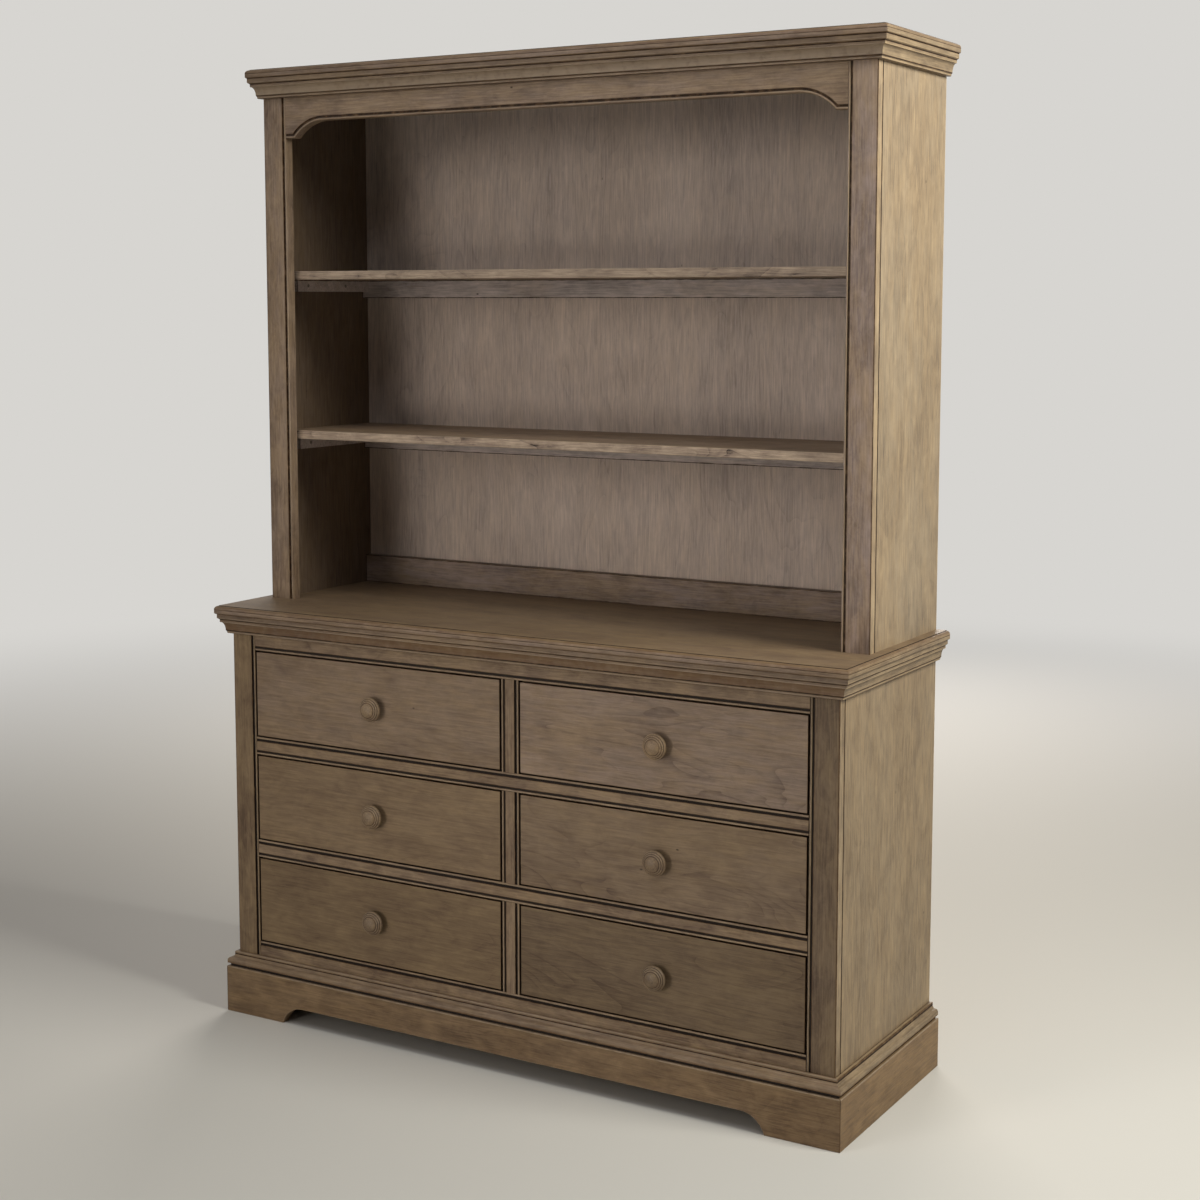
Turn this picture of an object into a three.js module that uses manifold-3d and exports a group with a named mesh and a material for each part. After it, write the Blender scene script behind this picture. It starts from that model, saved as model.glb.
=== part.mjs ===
// A long dresser with six drawers, and an open hutch with two shelves that stands on it.
// Sizes are in millimetres, +Z is up, and the drawers face -Y.
// The origin lies on the floor, under the centre of the whole outline.
import * as THREE from 'three';
import { mergeVertices } from 'three/addons/utils/BufferGeometryUtils.js';
import Module from 'manifold-3d';

const wasm = await Module();
wasm.setup();

// Overall sizes
const caseWidth = 1404; // outside the side panels, the same for dresser and hutch
const dresserHeight = 889;
const dresserDepth = 463;
const hutchHeight = 1129;
const hutchDepth = 333;

// Boards
const sideThickness = 22;
const frameThickness = 22; // stiles, rails, mullions and valance
const backThickness = 8;
const topThickness = 18;
const topOverhang = 29;
const crownOverhang = 28;
const topEdgeRound = 7;
const topEdgeEase = 3;
const seamChamfer = 1.2; // each half of the V line between a stile and its side panel

// Face frame of the dresser
const stileWidth = 58;
const mullionWidth = 40;
const midRailHeight = 38;
const topRailReveal = 33; // rail that shows under the cornice
const bottomRailReveal = 31; // rail that shows over the base moulding
const bottomRailTail = 46; // rail that is hidden behind the base moulding and plinth
const beadWidth = 4.5;
const quirkWidth = 4.5;
const quirkDepth = 3;
const rowNames = ['lower', 'middle', 'upper'];
const columnNames = ['left', 'right'];

// Cornice moulding, under the dresser top and under the crown board
const corniceHeight = 42;
const corniceFootOutset = 8.2;
const corniceBeadOutset = 9.4;
const corniceBeadRise = 5;
const coveFootOutset = 11.4;
const coveHeadOutset = 19;
const coveRise = 18;
const filletOutset = 20;
const filletRise = 6;
const bandOutset = 24.3;
const bandRise = 9;

// Base moulding, on the plinth
const baseMouldingHeight = 31;
const baseFilletOutset = 7.4;
const baseFilletRise = 6;
const baseNoseOutset = 19;
const baseNoseRise = 5.5;
const baseQuirkOutset = 14;
const baseQuirkRise = 4.5;
const baseQuirkSlope = 2;

// Plinth
const plinthHeight = 100;
const plinthThickness = 20;
const footWidth = 153;
const archRise = 37.5;
const archRun = 51;
const rearRailThickness = 18;
const mitreGap = 0.3;

// Dust panels and the case bottom, which carry and guide the drawers
const panelThickness = 12;
const guideHeight = 15;
const stopDepth = 18;

// Drawers
const frontThickness = 20;
const frontSideGap = 4;
const frontTopGap = 3;
const frontEase = 1.5;
const boxSideGap = 1;
const boxRunGap = 0.5; // over the panel, and before the stop
const boxWall = 12;
const boxFloor = 6;
const boxFloorLift = 10;
const boxHeadroom = 30;

// Knobs
const knobRadius = 25;
const knobProjection = 28;
const knobNeckRadius = 8.5;
const knobSides = 20;

// Hutch
const valanceTipReveal = 84.5; // valance that shows under the crown moulding, at its ends
const valanceRise = 34;
const valanceRun = 75;
const valanceTipFlat = 24;
const lowerShelfHeight = 365; // from the dresser top to the top of the shelf
const upperShelfHeight = 706;
const shelfThickness = 18;
const shelfSetback = 6; // behind the stiles
const backCleatHeight = 39;
const cleatThickness = 18;
const sideCleatHeight = 25;
const sideCleatSetback = 25;
const lowerRailHeight = 62;
const lowerRailThickness = 18;

// Fineness of the rounded stretches
const beadSteps = 5;
const roundSteps = 4;
const coveSteps = 6;
const archSteps = 8;

// Places that follow from the sizes
const reach = Math.max(topOverhang, knobProjection, plinthThickness);
const backY = (dresserDepth + reach) / 2;
const faceY = backY - dresserDepth;
const hutchFaceY = backY - hutchDepth;
const half = caseWidth / 2;
const innerHalf = half - sideThickness;
const openHalf = half - stileWidth;
const panelFrontY = backY - backThickness;
const topUnder = dresserHeight - topThickness;
const corniceFoot = topUnder - corniceHeight;
const topRailFoot = corniceFoot - topRailReveal;
const baseTop = plinthHeight + baseMouldingHeight;
const bottomRailTop = baseTop + bottomRailReveal;
const rowHeight = (topRailFoot - bottomRailTop - (rowNames.length - 1) * midRailHeight) / rowNames.length;
const totalHeight = dresserHeight + hutchHeight;
const crownUnder = totalHeight - topThickness;
const crownFoot = crownUnder - corniceHeight;

// Finishes
const timber = { roughness: 0.55, metalness: 0 };
const finishes = {
  stain: { color: 0x75644e, ...timber },
  stainPale: { color: 0x86745a, ...timber },
  stainDark: { color: 0x5e5140, ...timber },
  rawPly: { color: 0xb79d78, ...timber },
  rawTimber: { color: 0xc2a57c, ...timber },
};

const dresserWithHutch = new THREE.Group();
dresserWithHutch.name = 'dresser_with_hutch';

// Adds one named piece to a group
function piece(group, name, geometry, finish) {
  geometry.computeVertexNormals();
  const mesh = new THREE.Mesh(geometry, new THREE.MeshStandardMaterial(finishes[finish]));
  mesh.name = name;
  group.add(mesh);
  return mesh;
}

// A group for each unit of the furniture
function unit(name) {
  const group = new THREE.Group();
  group.name = name;
  dresserWithHutch.add(group);
  return group;
}

// Turns a closed skin right side out, by the sign of its volume
function turnOut(geometry) {
  const at = geometry.attributes.position;
  const index = geometry.index;
  const corner = (i) => new THREE.Vector3().fromBufferAttribute(at, index.getX(i));
  let volume = 0;
  for (let i = 0; i < index.count; i += 3) {
    volume += corner(i).dot(corner(i + 1).cross(corner(i + 2)));
  }
  if (volume < 0) {
    for (let i = 0; i < index.count; i += 3) {
      const first = index.getX(i);
      index.setX(i, index.getX(i + 1));
      index.setX(i + 1, first);
    }
  }
  return geometry;
}

// A rectangular board between two places on each axis
function board([x0, x1], [y0, y1], [z0, z1]) {
  const geometry = new THREE.BoxGeometry(1, 1, 1);
  const at = geometry.attributes.position;
  for (let i = 0; i < at.count; i += 1) {
    at.setXYZ(i, at.getX(i) > 0 ? x1 : x0, at.getY(i) > 0 ? y1 : y0, at.getZ(i) > 0 ? z1 : z0);
  }
  return geometry;
}

// A closed skin over rings of points, with its first and last rings capped as the outline is
function skin(rings, outline) {
  const clockwise = THREE.ShapeUtils.isClockWise(outline);
  const shape = clockwise ? [...outline].reverse() : outline;
  const loops = clockwise ? rings.map((ring) => [...ring].reverse()) : rings;
  const count = shape.length;
  const last = (loops.length - 1) * count;
  const faces = [];
  for (const [a, b, c] of THREE.ShapeUtils.triangulateShape(shape, [])) {
    faces.push(c, b, a, last + a, last + b, last + c);
  }
  for (let low = 0; low < last; low += count) {
    for (let i = 0; i < count; i += 1) {
      const next = (i + 1) % count;
      faces.push(low + i, low + next, low + count + next);
      faces.push(low + i, low + count + next, low + count + i);
    }
  }
  const geometry = new THREE.BufferGeometry();
  geometry.setAttribute('position', new THREE.Float32BufferAttribute(loops.flat(2), 3));
  geometry.setIndex(faces);
  return turnOut(geometry);
}

// A prism along an axis: outlines are in (y, z) for x, in (x, z) for y and in (x, y) for z
function prism(axis, outline, from, to) {
  const place = {
    x: (point, along) => [along, point.x, point.y],
    y: (point, along) => [point.x, along, point.y],
    z: (point, along) => [point.x, point.y, along],
  }[axis];
  return skin([from, to].map((along) => outline.map((point) => place(point, along))), outline);
}

// A board built from rectangles, each with its own corners and level, for rounded edges
function layeredBoard(layers) {
  const first = layers[0];
  const outline = first.map(([a, b]) => new THREE.Vector2(a, b));
  return skin(layers.map((layer) => layer.map(([, , x, y, z]) => [x, y, z])), outline);
}

// Points of an arc, from one angle to another in degrees
function arc(centreX, centreY, radiusX, radiusY, from, to, steps) {
  const [start, end] = [from, to].map(THREE.MathUtils.degToRad);
  return new THREE.EllipseCurve(centreX, centreY, radiusX, radiusY, start, end, to < from).getPoints(steps);
}

const point = (a, b) => new THREE.Vector2(a, b);

// Joining solids
function solidOf(geometry) {
  const bare = geometry.clone();
  bare.deleteAttribute('normal');
  bare.deleteAttribute('uv');
  const merged = mergeVertices(bare);
  return new wasm.Manifold(new wasm.Mesh({
    numProp: 3,
    vertProperties: merged.attributes.position.array,
    triVerts: new Uint32Array(merged.index.array),
  }));
}

function joined(geometries) {
  const mesh = geometries.map(solidOf).reduce((sum, solid) => sum.add(solid)).getMesh();
  const geometry = new THREE.BufferGeometry();
  geometry.setAttribute('position', new THREE.BufferAttribute(mesh.vertProperties, 3));
  geometry.setIndex(new THREE.BufferAttribute(mesh.triVerts, 1));
  return geometry;
}

// The beaded edge of a frame member, as steps in from its opening edge and back from its face
function beadedEdge() {
  const radius = beadWidth / 2;
  return [
    ...arc(radius, -radius, radius, radius, 180, 0, beadSteps).map(({ x, y }) => [x, -y]),
    [beadWidth, quirkDepth],
    [beadWidth + quirkWidth, quirkDepth],
    [beadWidth + quirkWidth, 0],
  ];
}

// Stiles: beaded on the opening edge, with half a V line on the outer back edge
function stile(side, front, [bottom, top]) {
  const outline = [
    point(side * openHalf, front + frameThickness),
    ...beadedEdge().map(([step, back]) => point(side * (openHalf + step), front + back)),
    point(side * half, front),
    point(side * half, front + frameThickness - seamChamfer),
    point(side * (half - seamChamfer), front + frameThickness),
  ];
  return prism('z', outline, bottom, top);
}

// Side panels: full depth behind the stile, with the other half of the V line
function sidePanel(side, front, [bottom, top]) {
  const panelY = front + frameThickness;
  const outline = [
    point(side * innerHalf, panelY),
    point(side * (half - seamChamfer), panelY),
    point(side * half, panelY + seamChamfer),
    point(side * half, backY),
    point(side * innerHalf, backY),
  ];
  return prism('z', outline, bottom, top);
}

// Rails: each long edge is beaded or plain, outlined in (y, z)
function rail([x0, x1], [bottom, top], beadedBottom, beadedTop) {
  const outline = [point(faceY + frameThickness, bottom)];
  if (beadedBottom) {
    outline.push(...beadedEdge().map(([step, back]) => point(faceY + back, bottom + step)));
  } else {
    outline.push(point(faceY, bottom));
  }
  if (beadedTop) {
    outline.push(...beadedEdge().reverse().map(([step, back]) => point(faceY + back, top - step)));
  } else {
    outline.push(point(faceY, top));
  }
  outline.push(point(faceY + frameThickness, top));
  return prism('x', outline, x0, x1);
}

// Mullions: both long edges beaded, outlined in (x, y)
function mullion([bottom, top]) {
  const edge = mullionWidth / 2;
  const outline = [
    point(-edge, faceY + frameThickness),
    ...beadedEdge().map(([step, back]) => point(-edge + step, faceY + back)),
    ...beadedEdge().reverse().map(([step, back]) => point(edge - step, faceY + back)),
    point(edge, faceY + frameThickness),
  ];
  return prism('z', outline, bottom, top);
}

// Profiles of the mouldings, as (outset, height)
function corniceProfile() {
  const coveFoot = corniceBeadRise + (coveFootOutset - corniceBeadOutset) / 2;
  const coveHead = coveFoot + coveRise;
  const bandFoot = corniceHeight - bandRise;
  const beadEase = corniceBeadOutset - corniceFootOutset;
  return [
    point(0, 0),
    point(corniceFootOutset, 0),
    point(corniceBeadOutset, beadEase),
    point(corniceBeadOutset, corniceBeadRise - beadEase),
    ...arc(coveHeadOutset, coveFoot, coveHeadOutset - coveFootOutset, coveRise, 180, 90, coveSteps),
    point(filletOutset, coveHead),
    point(filletOutset, coveHead + filletRise),
    point(bandOutset, bandFoot),
    point(bandOutset, corniceHeight),
    point(0, corniceHeight),
  ];
}

function baseProfile() {
  const noseFoot = baseQuirkRise + baseQuirkSlope;
  const noseHead = noseFoot + baseNoseRise;
  const filletFoot = baseMouldingHeight - baseFilletRise;
  const middle = point((baseFilletOutset + baseNoseOutset) / 2, (noseHead + filletFoot) / 2);
  const run = (baseNoseOutset - baseFilletOutset) / 2;
  const rise = (filletFoot - noseHead) / 2;
  return [
    point(0, 0),
    point(baseQuirkOutset, 0),
    point(baseQuirkOutset, baseQuirkRise),
    point(baseNoseOutset, noseFoot),
    ...arc(middle.x, noseHead, run, rise, 0, 90, roundSteps),
    ...arc(middle.x, filletFoot, run, rise, 270, 180, roundSteps).slice(1),
    point(baseFilletOutset, baseMouldingHeight),
    point(0, baseMouldingHeight),
  ];
}

// The front run of a moulding, mitred at both ends
function frontRun(profile, front, foot) {
  const ring = (side) => profile.map(({ x, y }) => [side * (half + x), front - x, foot + y]);
  return skin([ring(-1), ring(1)], profile);
}

// A side run of a moulding, mitred at the front and square at the back
function sideRun(profile, side, front, foot) {
  const fore = profile.map(({ x, y }) => [side * (half + x), front - x + mitreGap, foot + y]);
  const rear = profile.map(({ x, y }) => [side * (half + x), backY, foot + y]);
  return skin([fore, rear], profile);
}

function addMoulding(group, name, profile, front, foot) {
  piece(group, `${name}_front`, frontRun(profile, front, foot), 'stain');
  piece(group, `${name}_left`, sideRun(profile, -1, front, foot), 'stain');
  piece(group, `${name}_right`, sideRun(profile, 1, front, foot), 'stain');
}

// A top board: it overhangs on three sides, rounded above and eased below, and is flush behind
function topBoard(front, under, overhang) {
  const quarter = (level, radius, from) => (
    arc(overhang - radius, level, radius, radius, from, from + 90, roundSteps)
  );
  const ease = quarter(under + topEdgeEase, topEdgeEase, 270);
  const round = quarter(under + topThickness - topEdgeRound, topEdgeRound, 0);
  const layer = ({ x: out, y: level }) => [
    [-1, -1, -half - out, front - out, level],
    [1, -1, half + out, front - out, level],
    [1, 1, half + out, backY, level],
    [-1, 1, -half - out, backY, level],
  ];
  return layeredBoard([...ease, ...round].map(layer));
}

// The arched line under the front plinth and under the valance, from left to right.
// Each foot's arc has the given run and rise; a lift moves the whole line square to itself.
function archLine(endX, footX, foot, rise, run, lift = 0) {
  const radius = (run * run + rise * rise) / (2 * rise);
  const centre = foot + rise - radius;
  const sweep = THREE.MathUtils.radToDeg(Math.acos((radius - rise + lift) / (radius + lift)));
  const right = arc(footX - run, centre, radius + lift, radius + lift, 90, 90 - sweep, archSteps);
  const left = right.map(({ x, y }) => point(-x, y)).reverse();
  return [point(-endX, foot + lift), ...left, ...right, point(endX, foot + lift)];
}

// Plinth front: one arched board whose ends are mitred
function plinthFront() {
  const line = archLine(half + plinthThickness, half + plinthThickness - footWidth, 0, archRise, archRun);
  const outline = [...line, point(half + plinthThickness, plinthHeight)];
  outline.push(point(-half - plinthThickness, plinthHeight));
  const outer = outline.map(({ x, y }) => [x, faceY - plinthThickness, y]);
  const inner = outline.map(({ x, y }) => [THREE.MathUtils.clamp(x, -half, half), faceY, y]);
  return skin([outer, inner], outline);
}

// A panel under a row of drawers, with side guides, a centre guide and a stop strip behind
function drawerPanel(top) {
  const frontY = faceY + frameThickness;
  const depth = [frontY, panelFrontY];
  const height = [top - panelThickness, top + guideHeight];
  return joined([
    board([-innerHalf, innerHalf], depth, [top - panelThickness, top]),
    board([-innerHalf, -openHalf], depth, height),
    board([openHalf, innerHalf], depth, height),
    board([-mullionWidth / 2, mullionWidth / 2], depth, height),
    board([-innerHalf, innerHalf], [panelFrontY - stopDepth, panelFrontY], height),
  ]);
}

// Drawer front: set in its opening, with its four front edges eased
function drawerFront([x0, x1], [z0, z1]) {
  const layer = (inset, y) => [
    [-1, -1, x0 + inset, y, z0 + inset],
    [1, -1, x1 - inset, y, z0 + inset],
    [1, 1, x1 - inset, y, z1 - inset],
    [-1, 1, x0 + inset, y, z1 - inset],
  ];
  const eased = arc(frontEase, frontEase, frontEase, frontEase, 270, 180, roundSteps);
  const layers = eased.map(({ x: inset, y: back }) => layer(inset, faceY + back));
  return layeredBoard([...layers, layer(0, faceY + frontThickness)]);
}

// Drawer box: four walls round a floor that is set up from their lower edges
function drawerBox([x0, x1], [z0, z1]) {
  const y0 = faceY + frontThickness;
  const y1 = panelFrontY - stopDepth - boxRunGap;
  const height = [z0, z1];
  return joined([
    board([x0, x0 + boxWall], [y0, y1], height),
    board([x1 - boxWall, x1], [y0, y1], height),
    board([x0, x1], [y0, y0 + boxWall], height),
    board([x0, x1], [y1 - boxWall, y1], height),
    board([x0, x1], [y0, y1], [z0 + boxFloorLift, z0 + boxFloorLift + boxFloor]),
  ]);
}

// Knob: turned, with a narrow neck, a rounded rim, two ring grooves and a raised centre
function knob() {
  const radiusShares = [
    [0, 0], [0.44, 0], [0.42, 0.08], [0.34, 0.2], [0.36, 0.36], [0.66, 0.52], [0.92, 0.62],
    [1, 0.71], [0.99, 0.8], [0.9, 0.86], [0.8, 0.87], [0.77, 0.8], [0.72, 0.8], [0.68, 0.9],
    [0.58, 0.92], [0.52, 0.85], [0.47, 0.85], [0.4, 0.94], [0.2, 0.99], [0, 1],
  ];
  const neckShare = knobNeckRadius / knobRadius;
  const profile = radiusShares.map(([out, along]) => {
    const radius = out === 0 ? 0 : Math.max(out, neckShare) * knobRadius;
    return point(radius, -along * knobProjection);
  });
  const turned = new THREE.LatheGeometry(profile, knobSides);
  turned.deleteAttribute('normal');
  turned.deleteAttribute('uv');
  return turnOut(mergeVertices(turned));
}

// Valance: an arched board with a bead and a quirk along its lower line
function valance() {
  const tip = crownFoot - valanceTipReveal;
  const footX = openHalf - valanceTipFlat;
  const line = (lift) => archLine(openHalf, footX, tip, valanceRise, valanceRun, lift);
  const over = (lines) => [...lines, point(openHalf, crownUnder), point(-openHalf, crownUnder)];
  const between = (low, high) => [...low, ...[...high].reverse()];
  const depth = [hutchFaceY, hutchFaceY + frameThickness];
  return joined([
    prism('y', over(line(0)), hutchFaceY + quirkDepth, depth[1]),
    prism('y', between(line(0), line(beadWidth)), ...depth),
    prism('y', over(line(beadWidth + quirkWidth)), ...depth),
  ]);
}

// Cleats under a shelf: one along the back and one on each side
function shelfCleats(under) {
  const frontY = hutchFaceY + frameThickness + shelfSetback + sideCleatSetback;
  const backDepth = [panelFrontY - cleatThickness, panelFrontY];
  const sideDepth = [frontY, panelFrontY];
  const sideHeight = [under - sideCleatHeight, under];
  return joined([
    board([-innerHalf, innerHalf], backDepth, [under - backCleatHeight, under]),
    board([-innerHalf, -innerHalf + cleatThickness], sideDepth, sideHeight),
    board([innerHalf - cleatThickness, innerHalf], sideDepth, sideHeight),
  ]);
}

// The dresser's case
function buildCase() {
  const group = unit('case');
  const across = [-openHalf, openHalf];
  const inside = [-innerHalf, innerHalf];
  const rowFoot = rowNames.map((_, row) => bottomRailTop + row * (rowHeight + midRailHeight));
  const [lowerFoot, middleFoot, upperFoot] = rowFoot;
  for (const [side, name] of [[-1, 'left'], [1, 'right']]) {
    piece(group, `dresser_side_${name}`, sidePanel(side, faceY, [0, topUnder]), 'stainPale');
    piece(group, `dresser_stile_${name}`, stile(side, faceY, [0, topUnder]), 'stain');
  }
  piece(group, 'top_rail', rail(across, [topRailFoot, topUnder], true, false), 'stain');
  for (const [name, top] of [['upper', upperFoot], ['lower', middleFoot]]) {
    piece(group, `${name}_middle_rail`, rail(across, [top - midRailHeight, top], true, true), 'stain');
  }
  const bottomRailFoot = baseTop - bottomRailTail;
  piece(group, 'bottom_rail', rail(across, [bottomRailFoot, lowerFoot], false, true), 'stain');
  rowFoot.forEach((foot, row) => {
    piece(group, `${rowNames[row]}_mullion`, mullion([foot, foot + rowHeight]), 'stain');
  });
  piece(group, 'upper_dust_panel', drawerPanel(upperFoot), 'rawPly');
  piece(group, 'lower_dust_panel', drawerPanel(middleFoot), 'rawPly');
  piece(group, 'case_bottom', drawerPanel(lowerFoot), 'rawPly');
  const rearRailTop = lowerFoot - panelThickness;
  const rearRail = board(inside, [panelFrontY - rearRailThickness, panelFrontY], [0, rearRailTop]);
  piece(group, 'rear_base_rail', rearRail, 'rawTimber');
  const backPanel = board(inside, [panelFrontY, backY], [plinthHeight / 2, topUnder]);
  piece(group, 'dresser_back_panel', backPanel, 'rawPly');
}

function buildTop() {
  const group = unit('top');
  piece(group, 'dresser_top', topBoard(faceY, topUnder, topOverhang), 'stain');
  addMoulding(group, 'top_moulding', corniceProfile(), faceY, corniceFoot);
}

function buildBase() {
  const group = unit('base');
  addMoulding(group, 'base_moulding', baseProfile(), faceY, plinthHeight);
  piece(group, 'plinth_front', plinthFront(), 'stain');
  const out = plinthThickness;
  const section = [point(0, 0), point(out, 0), point(out, plinthHeight), point(0, plinthHeight)];
  piece(group, 'plinth_left', sideRun(section, -1, faceY, 0), 'stain');
  piece(group, 'plinth_right', sideRun(section, 1, faceY, 0), 'stain');
}

function buildDrawer(row, column) {
  const name = `${rowNames[row]}_${columnNames[column]}`;
  const group = unit(`${name}_drawer`);
  const openingWidth = openHalf - mullionWidth / 2;
  const x0 = column === 0 ? -openHalf : mullionWidth / 2;
  const x1 = x0 + openingWidth;
  const z0 = bottomRailTop + row * (rowHeight + midRailHeight);
  const z1 = z0 + rowHeight;
  const frontWidth = [x0 + frontSideGap, x1 - frontSideGap];
  const frontHeight = [z0 + frontTopGap, z1 - frontTopGap];
  piece(group, `${name}_drawer_front`, drawerFront(frontWidth, frontHeight), 'stain');
  const boxWidth = [x0 + boxSideGap, x1 - boxSideGap];
  piece(group, `${name}_drawer_box`, drawerBox(boxWidth, [z0 + boxRunGap, z1 - boxHeadroom]), 'rawTimber');
  const turned = piece(group, `${name}_knob`, knob(), 'stain');
  turned.position.set((x0 + x1) / 2, faceY, (z0 + z1) / 2);
}

function buildHutch() {
  const group = unit('hutch');
  const inside = [-innerHalf, innerHalf];
  for (const [side, name] of [[-1, 'left'], [1, 'right']]) {
    const height = [dresserHeight, crownUnder];
    piece(group, `hutch_side_${name}`, sidePanel(side, hutchFaceY, height), 'stainPale');
    piece(group, `hutch_stile_${name}`, stile(side, hutchFaceY, height), 'stain');
  }
  piece(group, 'valance', valance(), 'stain');
  const backPanel = board(inside, [panelFrontY, backY], [dresserHeight, crownUnder]);
  piece(group, 'hutch_back_panel', backPanel, 'stainDark');
  const shelfDepth = [hutchFaceY + frameThickness + shelfSetback, panelFrontY];
  for (const [name, height] of [['lower', lowerShelfHeight], ['upper', upperShelfHeight]]) {
    const top = dresserHeight + height;
    piece(group, `${name}_shelf`, board(inside, shelfDepth, [top - shelfThickness, top]), 'stain');
    piece(group, `${name}_shelf_cleats`, shelfCleats(top - shelfThickness), 'stainDark');
  }
  const railDepth = [panelFrontY - lowerRailThickness, panelFrontY];
  const railHeight = [dresserHeight, dresserHeight + lowerRailHeight];
  piece(group, 'hutch_lower_rail', board(inside, railDepth, railHeight), 'stainDark');
  piece(group, 'crown_board', topBoard(hutchFaceY, crownUnder, crownOverhang), 'stain');
  addMoulding(group, 'crown_moulding', corniceProfile(), hutchFaceY, crownFoot);
}

buildCase();
buildTop();
buildBase();
rowNames.forEach((_, row) => columnNames.forEach((__, column) => buildDrawer(row, column)));
buildHutch();

export default dresserWithHutch;
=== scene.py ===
"""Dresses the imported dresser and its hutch: joinery, drawer boxes, hardware, finishes and the stage"""
import math
from collections import namedtuple

import bmesh
import bpy
from bpy.props import FloatProperty, FloatVectorProperty, IntProperty, PointerProperty
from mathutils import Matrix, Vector


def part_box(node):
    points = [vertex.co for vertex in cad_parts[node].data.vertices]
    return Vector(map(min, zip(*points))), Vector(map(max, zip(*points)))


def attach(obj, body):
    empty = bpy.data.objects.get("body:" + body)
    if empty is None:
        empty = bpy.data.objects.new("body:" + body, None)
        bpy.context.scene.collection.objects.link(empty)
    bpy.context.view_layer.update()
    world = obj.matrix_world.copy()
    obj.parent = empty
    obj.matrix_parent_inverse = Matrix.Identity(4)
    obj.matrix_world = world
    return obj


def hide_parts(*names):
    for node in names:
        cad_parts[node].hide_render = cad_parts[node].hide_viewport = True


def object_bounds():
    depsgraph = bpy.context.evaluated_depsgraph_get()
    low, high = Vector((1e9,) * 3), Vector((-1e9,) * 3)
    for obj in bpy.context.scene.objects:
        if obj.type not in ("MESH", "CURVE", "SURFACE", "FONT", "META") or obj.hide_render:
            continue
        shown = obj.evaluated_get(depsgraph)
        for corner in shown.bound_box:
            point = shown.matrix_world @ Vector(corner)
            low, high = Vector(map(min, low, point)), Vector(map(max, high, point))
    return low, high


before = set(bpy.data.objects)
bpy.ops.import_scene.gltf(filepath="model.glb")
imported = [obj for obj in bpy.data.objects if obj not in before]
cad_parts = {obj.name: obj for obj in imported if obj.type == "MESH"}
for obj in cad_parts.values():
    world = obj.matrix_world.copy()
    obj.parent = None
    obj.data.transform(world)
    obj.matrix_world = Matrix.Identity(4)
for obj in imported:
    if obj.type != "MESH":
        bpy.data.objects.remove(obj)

bl_info = {
    "name": "Dresser with Hutch",
    "version": (1, 0, 0),
    "blender": (4, 5, 0),
    "location": "View3D > Sidebar > Dresser",
    "description": "Builds the joinery, hardware and finishes of a stained dresser with an open hutch",
    "category": "Object",
}

CAD_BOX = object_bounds()
ROWS = ("lower", "middle", "upper")
COLUMNS = ("left", "right")
SIDES = ((-1, "left"), (1, "right"))
SHELVES = ("lower", "upper")
PLYWOOD_BOARDS = ("upper_dust_panel", "lower_dust_panel", "case_bottom", "dresser_back_panel")

# Fineness of shapes
ARCH_STEPS = 28
BEAD_STEPS = 12
COVE_STEPS = 14
EASE_STEPS = 3
ROUND_STEPS = 8
KNOB_SIDES = 64
SCREW_SIDES = 32
SHARP_TURN = math.radians(32)
FACING = 0.5
WELD_REACH = 0.00001

# A rounded corner takes at most one part in this many of the edge beside it, and a crease fades out only on
# an edge that is this many fades long
EASE_PARTS = 3
FADE_PARTS = 3

# Creases: 1 where glaze gathers, 0 on plain stain and -1 on a rubbed edge, whose paler colour is wear and a
# painted highlight
# The bead's crest is painted paler: wear and a painted highlight
BEAD_WEAR_AND_HIGHLIGHT = 0.5
MITRE_GLAZE = 0.9
SEAM_GLAZE = 0.8
HUTCH_QUIRK = 0.62

# Each cornice's solids, its name, the crease in its cove and its seed: glaze on the dresser's cove, and on
# the crown's the paler rubbed colour, a painted highlight
CORNICES = (("top_moulding", "dresser_cornice", 0.3, 23), ("crown_moulding", "crown_cornice", -0.7, 26))

# Each rail: whether its foot and its head are beaded, and its seed
RAILS = {
    "top": (True, False, 9),
    "upper_middle": (True, True, 10),
    "lower_middle": (True, True, 11),
    "bottom": (False, True, 12),
}

# How deep and how cool the stain of each drawer front is, and how strong its figure. The depths are partly
# the boards' own tone and partly painted light: darker towards the bottom, palest at the upper right
FRONT_TONE_AND_LIGHT = {
    "lower_left": (0.16, 0.05),
    "lower_right": (0.29, 0.15),
    "middle_left": (0.06, 0.15),
    "middle_right": (0.09, 0.3),
    "upper_left": (0.01, 0.45),
    "upper_right": (-0.1, 0.65),
}
FRONT_FIGURE = {"left": 0.12, "right": 0.3}

# A knob from its neck to the middle of its face: share of the radius, share of the reach, and crease
KNOB_PROFILE = (
    (0.44, 0.0, 1.0), (0.43, 0.05, 0.7), (0.37, 0.11, 0.4), (0.35, 0.18, 0.2), (0.40, 0.25, 0.1),
    (0.56, 0.30, 0.1), (0.78, 0.335, 0.0), (0.93, 0.375, -0.2), (0.99, 0.42, -0.3), (1.0, 0.48, -0.1),
    (0.995, 0.54, -0.3), (0.97, 0.59, -0.4), (0.93, 0.62, 0.0), (0.90, 0.625, 0.7), (0.88, 0.64, 0.7),
    (0.87, 0.675, -0.2), (0.845, 0.705, -0.4), (0.80, 0.72, 0.0), (0.765, 0.722, 0.7), (0.745, 0.74, 0.7),
    (0.735, 0.77, -0.2), (0.71, 0.795, -0.4), (0.665, 0.805, 0.1), (0.63, 0.805, 0.7), (0.605, 0.82, 0.6),
    (0.56, 0.86, 0.0), (0.48, 0.905, -0.2), (0.38, 0.945, -0.2), (0.27, 0.972, -0.2), (0.16, 0.99, -0.2),
    (0.07, 0.998, -0.2), (0.02, 1.0, -0.2),
)

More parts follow.
